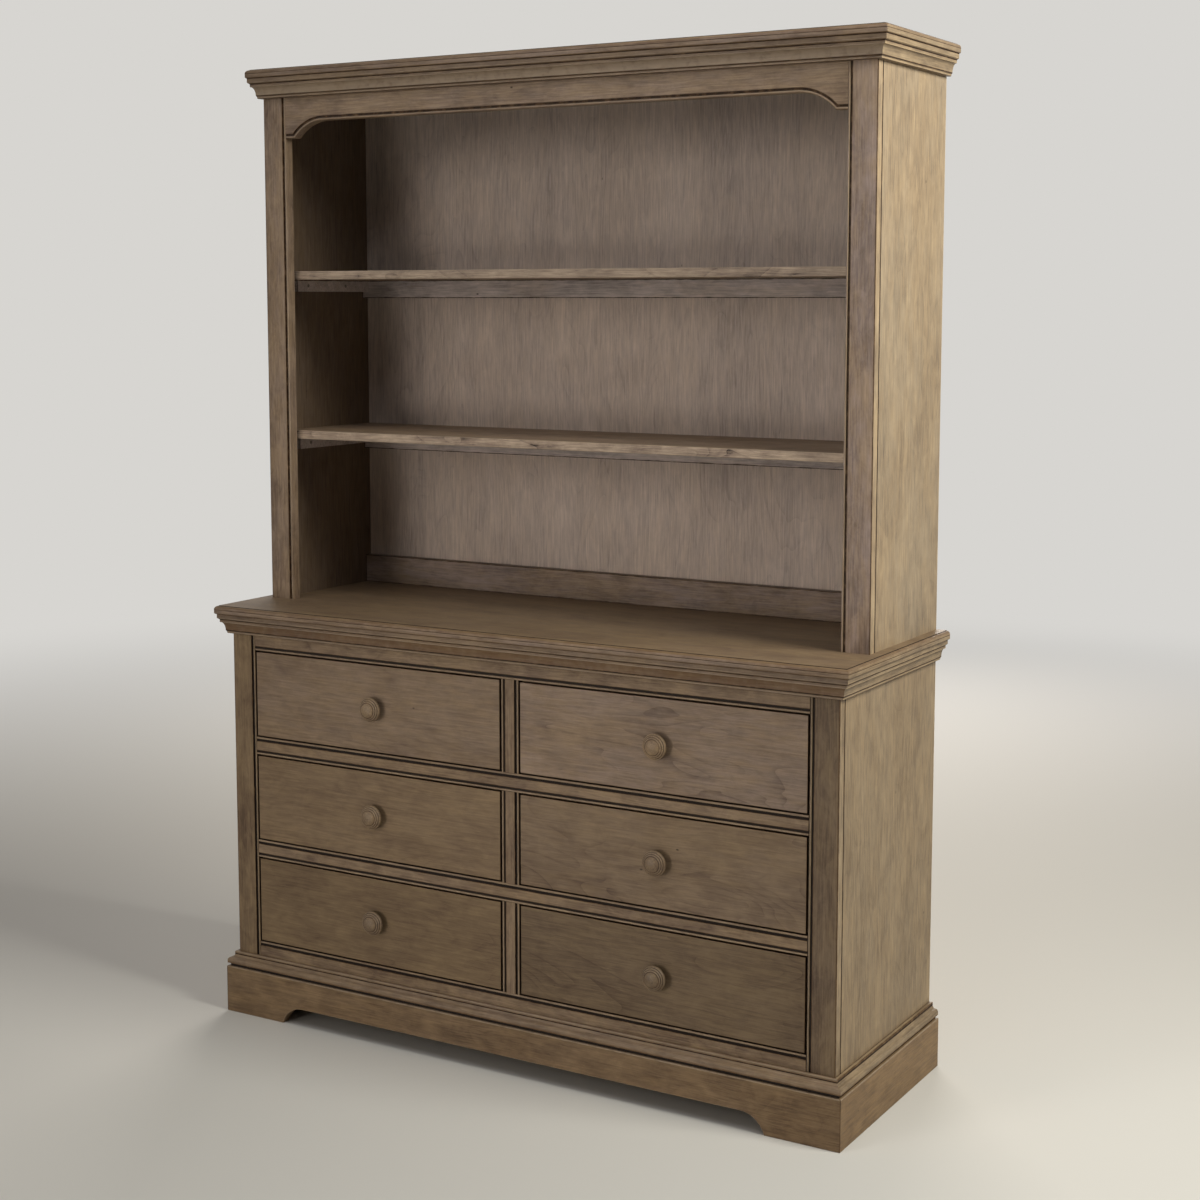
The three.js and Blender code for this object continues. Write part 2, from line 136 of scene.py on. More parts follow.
# A screw head from its foot to its recess, in shares of its radius and height, and its cross recess
SCREW_PROFILE = ((0.9, -0.4), (1.0, 0.0), (0.94, 0.55), (0.8, 0.85), (0.68, 1.0))
CROSS_ARM = 0.62
CROSS_WIDTH = 0.13
CROSS_FLOOR = 0.2

# A glide from its head to its foot, in shares of its radius and height, and how far it is from the corner of
# its block, as a share of the block's legs
GLIDE_PROFILE = ((0.8, 0.0), (1.0, -0.25), (1.0, -0.6), (0.82, -1.0))
GLIDE_PLACE = 0.3

# Where the screws of a side cleat are, as shares of its run from front to back
CLEAT_SCREW_PLACES = (0.14, 0.62)

# How stained wood looks unless its piece says otherwise, and how bare wood looks
GRAIN = {"Figure": 0.12, "Banding": 0.2, "Leaves": 0.0, "Clouding": 0.8, "Fibre": 0.3}
STAIN = {**GRAIN, "Depth": 0.0, "Coolness": 0.45}
BARE_FIGURE = {"timber": 0.3, "ply": 0.45}
BARE_GRAIN = {"Banding": 0.5, "Clouding": 0.6, "Fibre": 0.36}

# A piece's axes with the one along its grain first, and how far each seed moves the grain
GRAIN_ORDER = {"x": (0, 1, 2), "y": (1, 0, 2), "z": (2, 0, 1)}
SEED_STEP = Vector((3.7, 1.9, 2.3))
SIDE_SHIFT = 1 / 3

# The tint along a board's edges: its reach, how many reaches it fades over, and what lifts the main part of
# a face's normal over one
EDGE_REACH = 0.003
EDGE_FADE = 1.5
NORMAL_LIFT = (0.1, 0.1, 0.1)

# Relief of the grain
THREAD_RELIEF = 0.6
RELIEF_STRENGTH = 0.35
STAINED_RELIEF = 0.0003
BARE_RELIEF = 0.0002

# Noise in the wood: its scale along and across the grain, and the level from which it is spread out to run
# from nothing to one
Noise = namedtuple("Noise", "along across detail roughness distortion low", defaults=(0.5, 0.0, None))
WANDER = Noise(1.6, 5.0, 2.0)
STREAK = Noise(13.0, 210.0, 5.0, 0.6, 0.0, 0.3)
THREAD = Noise(18.0, 420.0, 4.0, 0.6, 0.0, 0.32)
BAND = Noise(0.8, 22.0, 3.0, 0.5, 0.0, 0.3)
CLOUD = Noise(4.5, 10.0, 5.0, 0.6, 0.4, 0.28)
BLOTCH = Noise(18.0, 34.0, 5.0, 0.7, 0.5, 0.3)
CONTOUR = Noise(2.0, 8.0, 2.0, 0.35, 0.9)
PATCH = Noise(3.0, 6.5, 5.0, 0.65, 0.2)
TINGE = Noise(18.0, 70.0, 4.0, 0.6)
RUB = Noise(38.0, 38.0, 3.0)
MOTTLE = Noise(60.0, 60.0, 3.0)
SMUDGE = Noise(420.0, 420.0, 4.0)
FLECK_CELLS = (11.0, 21.0, 21.0)
CELLS_WITHOUT_FLECK = 0.82
LEAVES_PER_METRE = 8.5
WANDER_REACH = 0.03
RINGS = 15.0
RING_SHARPNESS = 5.0

# How much each of them adds to the tone or the hue
MIDDLE_TONE = 0.42
STREAK_WEIGHT = 0.22
CLOUD_WEIGHT = 0.4
BLOTCH_WEIGHT = 0.42
BAND_WEIGHT = 0.5
TINGE_WEIGHT = 0.6
FLECK_WEIGHT = 0.85
COOL_LIFT = 0.58
DEPTH_WEIGHT = -1.1
GRAIN_DULLNESS = 0.06
GLAZE_DULLNESS = 0.15

# Ramps: from which level to which, and what they become
LINE_RAMP = (0.2, 0.8, 1.0, 0.1)
HUE_RAMP = (0.3, 0.7, 0.4, 1.0)
FLECK_RAMP = (0.015, 0.05, 1.0, 0.0)
DEEP_RAMP = (-0.6, 0.0, 1.0, 0.0)
UNEVEN_RAMP = (0.25, 0.6, 0.72, 1.15)
THIN_RAMP = (0.02, 0.6, 0.0, 0.85)
GLAZE_RAMP = (0.3, 0.85)
WEAR_AND_HIGHLIGHT_RAMP = (0.15, 1.0, 0.0, 0.7)
SHADOW_RAMP = (1.6, 6.0)
SMUDGE_RAMP = (0.3, 0.7)
SMUDGE_SHADE = 0.7
SMUDGE_DULLNESS = 0.2

# Kinds of the groups' sockets that aren't plain numbers
VECTORS = ("Vector", "Low", "High")
COLOURS = ("Color", "Pale", "Dark", "Cool", "Glaze", "Thin Glaze", "Rubbed")

# Each lamp: where it stands, what it looks at, its size, the spread of its light in degrees and its colour
Lamp = namedtuple("Lamp", "place aim size spread code")
MIDDLE = Vector((0.0, 0.0, (CAD_BOX[0].z + CAD_BOX[1].z) / 2))
LAMPS = {
    "side": Lamp((2.8, -0.2, 3.0), MIDDLE, 1.4, 180.0, 0xFFFEF6),
    "front": Lamp((-1.2, -3.9, 0.6), (0.2, 0.0, 0.35), 0.9, 60.0, 0xFFF8F0),
    "hutch": Lamp((-2.0, -3.9, 2.5), (0.5, 0.1, 1.75), 1.4, 60.0, 0xFFF8F0),
    "top": Lamp((0.2, -1.8, 3.8), MIDDLE, 1.8, 180.0, 0xF4F7FF),
    "rear": Lamp((-1.6, 4.2, 2.2), MIDDLE, 2.6, 180.0, 0xFFF8F0),
}
FLOOR_REACH = 60.0
FLOOR_ROUGHNESS = 0.8


# Settings

def linear(code):
    """Linear red, green and blue of a colour written as 0xRRGGBB"""
    parts = [(code >> shift & 255) / 255 for shift in (16, 8, 0)]
    return tuple(part / 12.92 if part <= 0.04045 else ((part + 0.055) / 1.055) ** 2.4 for part in parts)


def colour(name, code, description):
    """A colour that a user can change"""
    return FloatVectorProperty(name=name, description=description, default=linear(code), size=3,
                               min=0.0, max=1.0, subtype="COLOR")


def number(name, default, description, **more):
    """A number that a user can change"""
    return FloatProperty(name=name, description=description, default=default, **more)


def length(name, default, description):
    """A length in metres"""
    return number(name, default, description, min=0.0, precision=4, unit="LENGTH")


def share(name, default, description):
    """A share from nothing to all"""
    return number(name, default, description, min=0.0, max=1.0, subtype="FACTOR")


def power(name, default, description):
    """The power of a lamp in watts"""
    return number(name, default, description, min=0.0, unit="POWER")


def degrees(name, default, description):
    """An angle, written in degrees"""
    return number(name, math.radians(default), description, subtype="ANGLE")


class DresserFrame(bpy.types.PropertyGroup):
    """Sizes of the beaded face frame"""

    bead_width: length("Bead Width", 0.0045, "Width of the round bead along each opening")
    quirk_width: length("Quirk Width", 0.0045, "Width of the groove beside the bead")
    quirk_depth: length("Quirk Depth", 0.003, "Depth of the groove beside the bead")
    seam_chamfer: length("Seam Chamfer", 0.0012, "Each half of the V line between a stile and its side")
    edge_ease: length("Edge Ease", 0.0008, "Rounding of the outer front edges")
    crease_fade: length("Crease Fade", 0.0018, "How far glaze or wear runs out from an edge")


class DresserMouldings(bpy.types.PropertyGroup):
    """Sizes of the cornice and the base moulding"""

    foot_outset: length("Cornice Foot", 0.0082, "Outset of the cornice at its foot")
    bead_outset: length("Cornice Bead", 0.0094, "Outset of the small bead at the cornice foot")
    bead_rise: length("Cornice Bead Rise", 0.005, "Height of the small bead")
    cove_foot: length("Cove Foot", 0.0114, "Outset of the cove at its foot")
    cove_head: length("Cove Head", 0.019, "Outset of the cove at its head")
    cove_rise: length("Cove Rise", 0.018, "Height of the cove")
    fillet_outset: length("Cornice Fillet", 0.020, "Outset of the fillet over the cove")
    fillet_rise: length("Cornice Fillet Rise", 0.006, "Height of the fillet over the cove")
    band_outset: length("Cornice Band", 0.0243, "Outset of the band under the board")
    band_rise: length("Cornice Band Rise", 0.009, "Height of the band under the board")
    base_fillet: length("Base Fillet", 0.0074, "Outset of the fillet at the head of the base moulding")
    base_fillet_rise: length("Base Fillet Rise", 0.006, "Height of that fillet")
    nose_outset: length("Base Nose", 0.019, "Outset of the nose of the base moulding")
    nose_rise: length("Base Nose Rise", 0.0055, "Height of the straight nose")
    base_quirk: length("Base Quirk", 0.014, "Outset of the moulding at its quirk on the plinth")
    base_quirk_rise: length("Base Quirk Rise", 0.0045, "Height of the quirk on the plinth")
    base_quirk_slope: length("Base Quirk Slope", 0.002, "Rise of the slope from the quirk to the nose")
    mitre_gap: length("Mitre Gap", 0.0003, "Hairline at each mitre")
    ease: length("Moulding Ease", 0.0006, "Rounding of the sharp edges of the mouldings")


class DresserBoards(bpy.types.PropertyGroup):
    """Sizes of the boards, the plinth and the valance"""

    top_round: length("Top Round", 0.007, "Rounding of the upper edge of a top board")
    top_step: length("Top Step", 0.001, "Height of the small step between that rounding and the top")
    top_ease: length("Top Ease", 0.003, "Rounding of the lower edge of a top board")
    top_corner: length("Top Corner", 0.0025, "Rounding of a top board's corners in plan")
    board_ease: length("Board Ease", 0.001, "Rounding of the edges of plain boards")
    plinth_ease: length("Plinth Ease", 0.0016, "Rounding of the edges of the plinth")
    foot_width: length("Foot Width", 0.153, "Width of each foot of the plinth front")
    plinth_rise: length("Plinth Arch Rise", 0.0375, "Rise of the arch between the feet")
    plinth_run: length("Plinth Arch Run", 0.051, "Run of the arc beside each foot")
    valance_rise: length("Valance Rise", 0.034, "Rise of the valance between its tips")
    valance_run: length("Valance Run", 0.075, "Run of the arc beside each tip")
    tip_flat: length("Valance Tip", 0.024, "Flat at each tip of the valance")
    cleat_thick: length("Cleat Thickness", 0.018, "Thickness of the cleats under the shelves")
    block_side: length("Corner Block", 0.048, "Legs of the corner blocks behind the feet")
    block_height: length("Corner Block Height", 0.055, "Height of the corner blocks")
    block_ease: length("Corner Block Ease", 0.002, "Rounding of the corner blocks")
    glide_radius: length("Glide Radius", 0.012, "Radius of the glides under the corner blocks")
    glide_height: length("Glide Height", 0.004, "Height of the glides")


class DresserDrawers(bpy.types.PropertyGroup):
    """Sizes of the drawers, their knobs and the screws"""

    front_ease: length("Front Ease", 0.0015, "Rounding of the drawer fronts' edges")
    front_glaze: length("Front Glaze", 0.007, "How far the glaze runs back along a drawer front's edges")
    front_corner: length("Front Corner", 0.0008, "Rounding of the drawer fronts' corners")
    box_wall: length("Box Wall", 0.012, "Thickness of the drawer box walls")
    box_floor: length("Box Floor", 0.006, "Thickness of the drawer floor")
    floor_lift: length("Floor Lift", 0.010, "Height of the floor over the lower edges of the walls")
    tail_flare: length("Tail Flare", 0.0026, "How much each side of a dovetail flares over the wall")
    joint_gap: length("Joint Gap", 0.00015, "Hairline round each dovetail")
    tail_count: IntProperty(name="Tails", description="Dovetails at each corner of a box", default=4, min=2)
    pin_share: share("Pin Share", 0.17, "Half of a pin's narrow side, as a share of the tails' pitch")
    screw_radius: length("Screw Radius", 0.0036, "Radius of the screw heads")
    screw_height: length("Screw Height", 0.0009, "Height of the screw heads over the board")
    screw_drop: length("Screw Drop", 0.0125, "How far the cleats' screws are below the shelf")
    bolt_radius: length("Knob Bolt Radius", 0.0048, "Radius of the head of the bolt that holds a knob")
    bolt_height: length("Knob Bolt Height", 0.0026, "Height of that bolt's head")


class DresserFinish(bpy.types.PropertyGroup):
    """Colours and gloss of the finishes"""

    stain_pale: colour("Pale Stain", 0xA08865, "The stain on open grain")
    stain_dark: colour("Dark Stain", 0x634E3B, "The stain in dense grain")
    stain_cool: colour("Cool Stain", 0x85756C, "Patches where the stain dries cooler")
    # The side colours are a paler, yellower copy of the stain for faces that look sideways: painted light
    # from the yellowish lamp on the right
    side_pale: colour("Pale Side", 0xB89F7B, "The stain on the open grain of the side panels")
    side_dark: colour("Dark Side", 0x6C5944, "The stain in the dense grain of the side panels")
    side_cool: colour("Cool Side", 0x8A7E6D, "Cooler patches on the side panels")
    # The veneer colours are much paler than the frame's stain: partly the veneer's own paler stain, partly
    # painted light for the light that the lamps don't bring into the hutch
    veneer_pale: colour("Pale Veneer", 0xE5D0BA, "The stain on the open grain of the hutch's back")
    veneer_dark: colour("Dark Veneer", 0xAE9D90, "The stain in the dense grain of the hutch's back")
    veneer_cool: colour("Cool Veneer", 0xC7BAB4, "Cooler patches on the hutch's back")
    lipping_pale: colour("Pale Lipping", 0xD2BCA2, "The stain on the lipping of the shelves")
    lipping_dark: colour("Dark Lipping", 0x958070, "The pores of that lipping")
    lipping_cool: colour("Cool Lipping", 0xB09C88, "Cooler patches on that lipping")
    # The plinth colours are a warmer copy of the stain: painted warm light, as if bounced from a wooden
    # floor
    plinth_pale: colour("Pale Plinth", 0xA38660, "The stain on the open grain of the plinth")
    plinth_dark: colour("Dark Plinth", 0x654E37, "The stain in the dense grain of the plinth")
    plinth_cool: colour("Cool Plinth", 0x86725F, "Cooler patches on the plinth")
    glaze: colour("Glaze", 0x1E140C, "Dark glaze in grooves, quirks and gaps")
    thin_glaze: colour("Thin Glaze", 0x644422, "Glaze where it is wiped thin")
    # The rubbed colour lightens worn edges and also paints a highlight on them
    rubbed: colour("Rubbed Edge", 0xAA9882, "Stain that is rubbed thin on edges")
    timber_pale: colour("Pale Timber", 0xD6BC92, "Bare timber of the drawer boxes")
    timber_dark: colour("Dark Timber", 0xB08F62, "Dense grain of the bare timber")
    ply_pale: colour("Pale Plywood", 0xC4A67C, "Bare plywood")
    ply_dark: colour("Dark Plywood", 0x9C7C55, "Dense grain of the bare plywood")
    gloss_roughness: share("Lacquer Roughness", 0.46, "Roughness of the satin lacquer")
    gloss: share("Lacquer Gloss", 0.22, "How much the lacquer shines")
    bare_roughness: share("Bare Roughness", 0.72, "Roughness of bare timber")
    metal: colour("Screw Steel", 0x9A958C, "Zinc plated steel of the screws")
    metal_roughness: share("Steel Roughness", 0.3, "Roughness of the screws")
    nylon: colour("Glide Nylon", 0xC9C4B8, "Nylon of the glides")
    nylon_roughness: share("Nylon Roughness", 0.5, "Roughness of the glides")


class DresserStage(bpy.types.PropertyGroup):
    """The camera, the lamps and the floor"""

    camera_place: FloatVectorProperty(name="Camera Place", description="Where the camera stands", size=3,
                                      default=(2.1149, -3.4411, 1.5348), subtype="TRANSLATION",
                                      unit="LENGTH")
    camera_turn: degrees("Camera Turn", 30.63, "Heading of the camera, to the left of the wall")
    camera_tilt: degrees("Camera Tilt", 6.35, "How far the camera looks down")
    camera_lens: number("Lens", 59.98, "Focal length in millimetres on a 36 mm sensor", min=1.0)
    camera_shift: number("Lens Shift", -0.065, "Shift of the picture, as a share of its width")
    side_light: power("Side Light", 107.0, "The lamp high on the right")
    front_light: power("Front Light", 4.2, "The lamp before the drawers, a little to the left")
    hutch_light: power("Hutch Light", 4.65, "The lamp high on the left, before the hutch")
    top_light: power("Top Light", 17.0, "The lamp overhead")
    rear_light: power("Rear Light", 110.0, "The lamp behind")
    sky: number("Sky", 0.06, "Strength of the even light from all round", min=0.0)
    floor: colour("Floor", 0xDAD7D0, "The pale floor")
    backdrop: colour("Backdrop", 0xD7D5D1, "What the camera sees behind the floor")


# Node trees

class Tree:
    """Adds nodes to a tree and links them"""

    def __init__(self, tree):
        self.tree = tree

    def add(self, kind, inputs=None, **settings):
        """A shader node of a kind, its settings by name, and its inputs by name or number"""
        node = self.tree.nodes.new(f"ShaderNode{kind}")
        for key, value in settings.items():
            setattr(node, key, value)
        for key, value in (inputs or {}).items():
            self.put(value, node.inputs[key])
        return node

    def put(self, value, socket):
        """Links a socket, or sets a plain value"""
        if isinstance(value, bpy.types.NodeSocket):
            self.tree.links.new(value, socket)
        else:
            socket.default_value = value

    def group(self, name, inputs):
        """What a shared group gives for these inputs"""
        return self.add("Group", inputs, node_tree=bpy.data.node_groups[name]).outputs

    def place(self):
        """Each point's own coordinates on its piece"""
        return self.add("TexCoord").outputs["Object"]

    def facing(self):
        """The way that each face of the mesh looks"""
        return self.add("NewGeometry").outputs["True Normal"]

    def parts(self, vector):
        """The three numbers of a vector"""
        return self.add("SeparateXYZ", {0: vector}).outputs

    def math(self, operation, *values):
        """A sum or other simple function of numbers"""
        return self.add("Math", dict(enumerate(values)), operation=operation).outputs[0]

    def vector(self, operation, *values):
        """A function of vectors"""
        return self.add("VectorMath", dict(enumerate(values)), operation=operation).outputs[0]

    def centred(self, value, weight, onto):
        """Adds a value of 0 to 1 onto another by a weight, as if it ran from minus a half to a half"""
        return self.math("MULTIPLY_ADD", self.math("SUBTRACT", value, 0.5), weight, onto)

    def ramp(self, value, low, high, to_low=0.0, to_high=1.0):
        """A value that runs smoothly from one level to another"""
        inputs = {"Value": value, "From Min": low, "From Max": high, "To Min": to_low, "To Max": to_high}
        return self.add("MapRange", inputs, interpolation_type="SMOOTHSTEP").outputs[0]

    def blend(self, factor, first, second, mode="MIX"):
        """A mix of two colours"""
        node = self.add("Mix", {0: factor}, data_type="RGBA", blend_type=mode)
        sockets = {socket.identifier: socket for socket in node.inputs}
        self.put(first, sockets["A_Color"])
        self.put(second, sockets["B_Color"])
        return next(socket for socket in node.outputs if socket.identifier == "Result_Color")

    def noise(self, vector, kind):
        """One of the noises of the wood"""
        stretched = self.vector("MULTIPLY", vector, (kind.along, kind.across, kind.across))
        inputs = {"Vector": stretched, "Scale": 1.0, "Detail": kind.detail, "Roughness": kind.roughness,
                  "Distortion": kind.distortion}
        level = self.add("TexNoise", inputs).outputs[0]
        return level if kind.low is None else self.ramp(level, kind.low, 1 - kind.low)


def new_group(name, inputs, outputs):
    """A shader node group: its tree, what it is given by name, and where its results go"""
    group = bpy.data.node_groups.new(name, "ShaderNodeTree")
    for direction, sockets in (("INPUT", inputs), ("OUTPUT", outputs)):
        for socket in sockets:
            kind = "Vector" if socket in VECTORS else "Color" if socket in COLOURS else "Float"
            group.interface.new_socket(name=socket, in_out=direction, socket_type=f"NodeSocket{kind}")
    given = group.nodes.new("NodeGroupInput").outputs
    return Tree(group), given, group.nodes.new("NodeGroupOutput").inputs


def build_grain():
    """Wood Grain: tone, hue, dark flecks and relief of a board whose grain runs along X"""
    tree, given, out = new_group("Wood Grain", ("Vector", *GRAIN), ("Tone", "Hue", "Flecks", "Relief"))
    place = given["Vector"]
    wander = tree.math("MULTIPLY", tree.noise(place, WANDER), WANDER_REACH)
    bent = tree.vector("ADD", place, tree.add("CombineXYZ", {"Y": wander, "Z": wander}).outputs[0])
    streak = tree.noise(bent, STREAK)
    thread = tree.noise(bent, THREAD)
    cloud = tree.noise(place, CLOUD)
    leaf = tree.math("FLOOR", tree.math("MULTIPLY", tree.parts(bent)[1], LEAVES_PER_METRE))
    leaf = tree.add("TexWhiteNoise", {"W": leaf}, noise_dimensions="1D").outputs["Value"]
    ring = tree.math("FRACT", tree.math("MULTIPLY", tree.noise(place, CONTOUR), RINGS))
    line = tree.math("MULTIPLY", tree.math("POWER", ring, RING_SHARPNESS), tree.ramp(cloud, *LINE_RAMP))
    tone = tree.centred(streak, STREAK_WEIGHT, MIDDLE_TONE)
    tone = tree.centred(thread, given["Fibre"], tone)
    tone = tree.centred(cloud, tree.math("MULTIPLY", given["Clouding"], CLOUD_WEIGHT), tone)
    blotch_weight = tree.math("MULTIPLY", given["Clouding"], BLOTCH_WEIGHT)
    tone = tree.centred(tree.noise(place, BLOTCH), blotch_weight, tone)
    band_weight = tree.math("MULTIPLY", given["Banding"], BAND_WEIGHT)
    tone = tree.centred(tree.noise(bent, BAND), band_weight, tone)
    tone = tree.centred(leaf, given["Leaves"], tone)
    tone = tree.math("SUBTRACT", tone, tree.math("MULTIPLY", line, given["Figure"]))
    patch = tree.centred(tree.noise(bent, TINGE), TINGE_WEIGHT, tree.noise(place, PATCH))
    cells = {"Vector": tree.vector("MULTIPLY", place, FLECK_CELLS), "Scale": 1.0}
    cell = tree.add("TexVoronoi", cells).outputs
    chosen = tree.add("SeparateColor", {0: cell["Color"]}).outputs[0]
    chosen = tree.math("GREATER_THAN", chosen, CELLS_WITHOUT_FLECK)
    tree.put(tone, out["Tone"])
    tree.put(tree.ramp(patch, *HUE_RAMP), out["Hue"])
    tree.put(tree.math("MULTIPLY", tree.ramp(cell["Distance"], *FLECK_RAMP), chosen), out["Flecks"])
    tree.put(tree.math("MULTIPLY_ADD", thread, THREAD_RELIEF, streak), out["Relief"])


def build_edges():
    """Board Edges: a tint on the edges of a board's box, which fades to nothing away from them"""
    tree, given, out = new_group("Board Edges", ("Low", "High", "Reach", "Tint"), ("Crease",))
    place = tree.place()
    own = tree.vector("FLOOR", tree.vector("ADD", tree.vector("ABSOLUTE", tree.facing()), NORMAL_LIFT))
    over_low = tree.vector("SUBTRACT", place, given["Low"])
    inside = tree.vector("MINIMUM", over_low, tree.vector("SUBTRACT", given["High"], place))
    apart = tree.parts(tree.vector("ADD", inside, own))
    nearest = tree.math("MINIMUM", tree.math("MINIMUM", apart[0], apart[1]), apart[2])
    nearest = tree.math("ADD", nearest, tree.math("MULTIPLY", tree.noise(place, RUB), given["Reach"]))
    limit = tree.math("MULTIPLY", given["Reach"], EDGE_FADE)
    tree.put(tree.math("MULTIPLY", tree.ramp(nearest, 0.0, limit, 1.0, 0.0), given["Tint"]), out["Crease"])


def build_stain():
    """Stained Wood: colour, roughness and relief of stained, glazed and rubbed wood; the rubbed colour is
    wear and also a painted highlight on edges
    """
    inputs = ("Vector", "Crease", *STAIN, *COLOURS[1:], "Roughness")
    tree, given, out = new_group("Stained Wood", inputs, ("Color", "Roughness", "Relief"))
    grain = tree.group("Wood Grain", {name: given[name] for name in ("Vector", *GRAIN)})
    tone = grain["Tone"]
    wood = tree.blend(tone, given["Dark"], given["Pale"])
    cool = tree.blend(1.0, given["Cool"], tree.math("MULTIPLY_ADD", tone, 1.0, COOL_LIFT), "MULTIPLY")
    wood = tree.blend(tree.math("MULTIPLY", grain["Hue"], given["Coolness"]), wood, cool)
    wood = tree.blend(1.0, wood, tree.math("MULTIPLY_ADD", given["Depth"], DEPTH_WEIGHT, 1.0), "MULTIPLY")
    wood = tree.blend(tree.ramp(tone, *DEEP_RAMP), wood, given["Glaze"])
    wood = tree.blend(tree.math("MULTIPLY", grain["Flecks"], FLECK_WEIGHT), wood, given["Glaze"])
    mottle = tree.ramp(tree.noise(given["Vector"], MOTTLE), *UNEVEN_RAMP)
    uneven = tree.math("MULTIPLY", given["Crease"], mottle)
    glaze = tree.ramp(uneven, *GLAZE_RAMP)
    wood = tree.blend(tree.ramp(uneven, *THIN_RAMP), wood, given["Thin Glaze"])
    wood = tree.blend(glaze, wood, given["Glaze"])
    # Negative creases blend towards the rubbed colour: wear, with a painted highlight on edges
    wear_and_highlight = tree.ramp(tree.math("MULTIPLY", uneven, -1.0), *WEAR_AND_HIGHLIGHT_RAMP)
    tree.put(tree.blend(wear_and_highlight, wood, given["Rubbed"]), out["Color"])
    rough = tree.math("MULTIPLY_ADD", grain["Relief"], GRAIN_DULLNESS, given["Roughness"])
    tree.put(tree.math("MULTIPLY_ADD", glaze, GLAZE_DULLNESS, rough), out["Roughness"])
    tree.put(grain["Relief"], out["Relief"])


def build_bare():
    """Bare Wood: colour and relief of unfinished timber or plywood"""
    tree, given, out = new_group("Bare Wood", ("Vector", "Figure", "Pale", "Dark"), ("Color", "Relief"))
    grain = tree.group("Wood Grain", {"Vector": given["Vector"], "Figure": given["Figure"], **BARE_GRAIN})
    tree.put(tree.blend(grain["Tone"], given["Dark"], given["Pale"]), out["Color"])
    tree.put(grain["Relief"], out["Relief"])


# Materials

def new_material(name):
    """A material with a bare Principled shader: its tree and the shader"""
    material = bpy.data.materials.new(name)
    material.use_nodes = True
    return material, Tree(material.node_tree), material.node_tree.nodes["Principled BSDF"]


def grain_vector(tree, grain, seed):
    """The piece's own coordinates, turned so that X runs along the grain, and moved by the seed"""
    place = tree.parts(tree.place())
    turned = tree.add("CombineXYZ", {i: place[axis] for i, axis in enumerate(GRAIN_ORDER[grain])})
    return tree.vector("ADD", turned.outputs[0], SEED_STEP * seed)


def add_relief(tree, shader, relief, depth):
    """Fine relief of the grain in the shader's normal"""
    bump = tree.add("Bump", {"Height": relief, "Strength": RELIEF_STRENGTH, "Distance": depth})
    tree.put(bump.outputs[0], shader.inputs["Normal"])


def opaque(key):
    """One of the finish's colours, with its alpha"""
    return (*getattr(bpy.context.scene.dresser_finish, key), 1.0)


def stained(name, grain, seed, tones="stain", box=None, edge=0.0, shine=1.0, **changes):
    """Stained wood. Its creases come from the mesh, or from the edges of a box where one is given"""
    finish = bpy.context.scene.dresser_finish
    material, tree, shader = new_material(name)
    if box:
        sockets = {"Low": box[0], "High": box[1], "Reach": EDGE_REACH, "Tint": edge}
        crease = tree.group("Board Edges", sockets)[0]
    else:
        crease = tree.add("Attribute", attribute_name="crease").outputs["Fac"]
    inputs = {"Vector": grain_vector(tree, grain, seed), "Crease": crease,
              "Roughness": finish.gloss_roughness}
    inputs.update(STAIN, **{key.title(): value for key, value in changes.items()})
    for socket in ("Pale", "Dark", "Cool"):
        inputs[socket] = opaque(f"{tones}_{socket.lower()}")
    inputs["Glaze"] = opaque("glaze")
    inputs["Thin Glaze"] = opaque("thin_glaze")
    # Edges of sideways faces turn to the pale side colour and other edges to the rubbed colour: wear, with a
    # painted highlight
    inputs["Rubbed"] = opaque("side_pale" if tones == "side" else "rubbed")
    wood = tree.group("Stained Wood", inputs)
    tree.put(wood["Color"], shader.inputs["Base Color"])
    tree.put(wood["Roughness"], shader.inputs["Roughness"])
    shader.inputs["Specular IOR Level"].default_value = finish.gloss * shine
    add_relief(tree, shader, wood["Relief"], STAINED_RELIEF)
    return material


def bare_wood(tree, kind, grain, seed):
    """What the group for bare timber or plywood gives"""
    inputs = {"Vector": grain_vector(tree, grain, seed), "Figure": BARE_FIGURE[kind],
              "Pale": opaque(f"{kind}_pale"), "Dark": opaque(f"{kind}_dark")}
    return tree.group("Bare Wood", inputs)


def bare(kind, name, grain, seed):
    """Unfinished timber or plywood"""
    material, tree, shader = new_material(name)
    wood = bare_wood(tree, kind, grain, seed)
    tree.put(wood["Color"], shader.inputs["Base Color"])
    shader.inputs["Roughness"].default_value = bpy.context.scene.dresser_finish.bare_roughness
    add_relief(tree, shader, wood["Relief"], BARE_RELIEF)
    return material


def leave_rear_bare(material, seed):
    """Leaves the rear face of a stained panel as bare plywood"""
    tree = Tree(material.node_tree)
    inputs = material.node_tree.nodes["Principled BSDF"].inputs
    stain, rough = (inputs[name].links[0].from_socket for name in ("Base Color", "Roughness"))
    ply = bare_wood(tree, "ply", "x", seed)
    rear = tree.math("GREATER_THAN", tree.parts(tree.facing())[1], FACING)
    more = tree.math("SUBTRACT", bpy.context.scene.dresser_finish.bare_roughness, rough)
    tree.put(tree.blend(rear, stain, ply["Color"]), inputs["Base Color"])
    tree.put(tree.math("MULTIPLY_ADD", rear, more, rough), inputs["Roughness"])


def smudged(name, metallic, tint, roughness):
    """A metal or nylon finish with fine unevenness"""
    _, tree, shader = new_material(name)
    smudge = tree.noise(tree.place(), SMUDGE)
    dull = tuple(channel * SMUDGE_SHADE for channel in tint)
    tree.put(tree.blend(smudge, (*tint, 1.0), (*dull, 1.0)), shader.inputs["Base Color"])
    rough = tree.ramp(smudge, *SMUDGE_RAMP, roughness, roughness + SMUDGE_DULLNESS)
    tree.put(rough, shader.inputs["Roughness"])
    shader.inputs["Metallic"].default_value = metallic


# Outlines

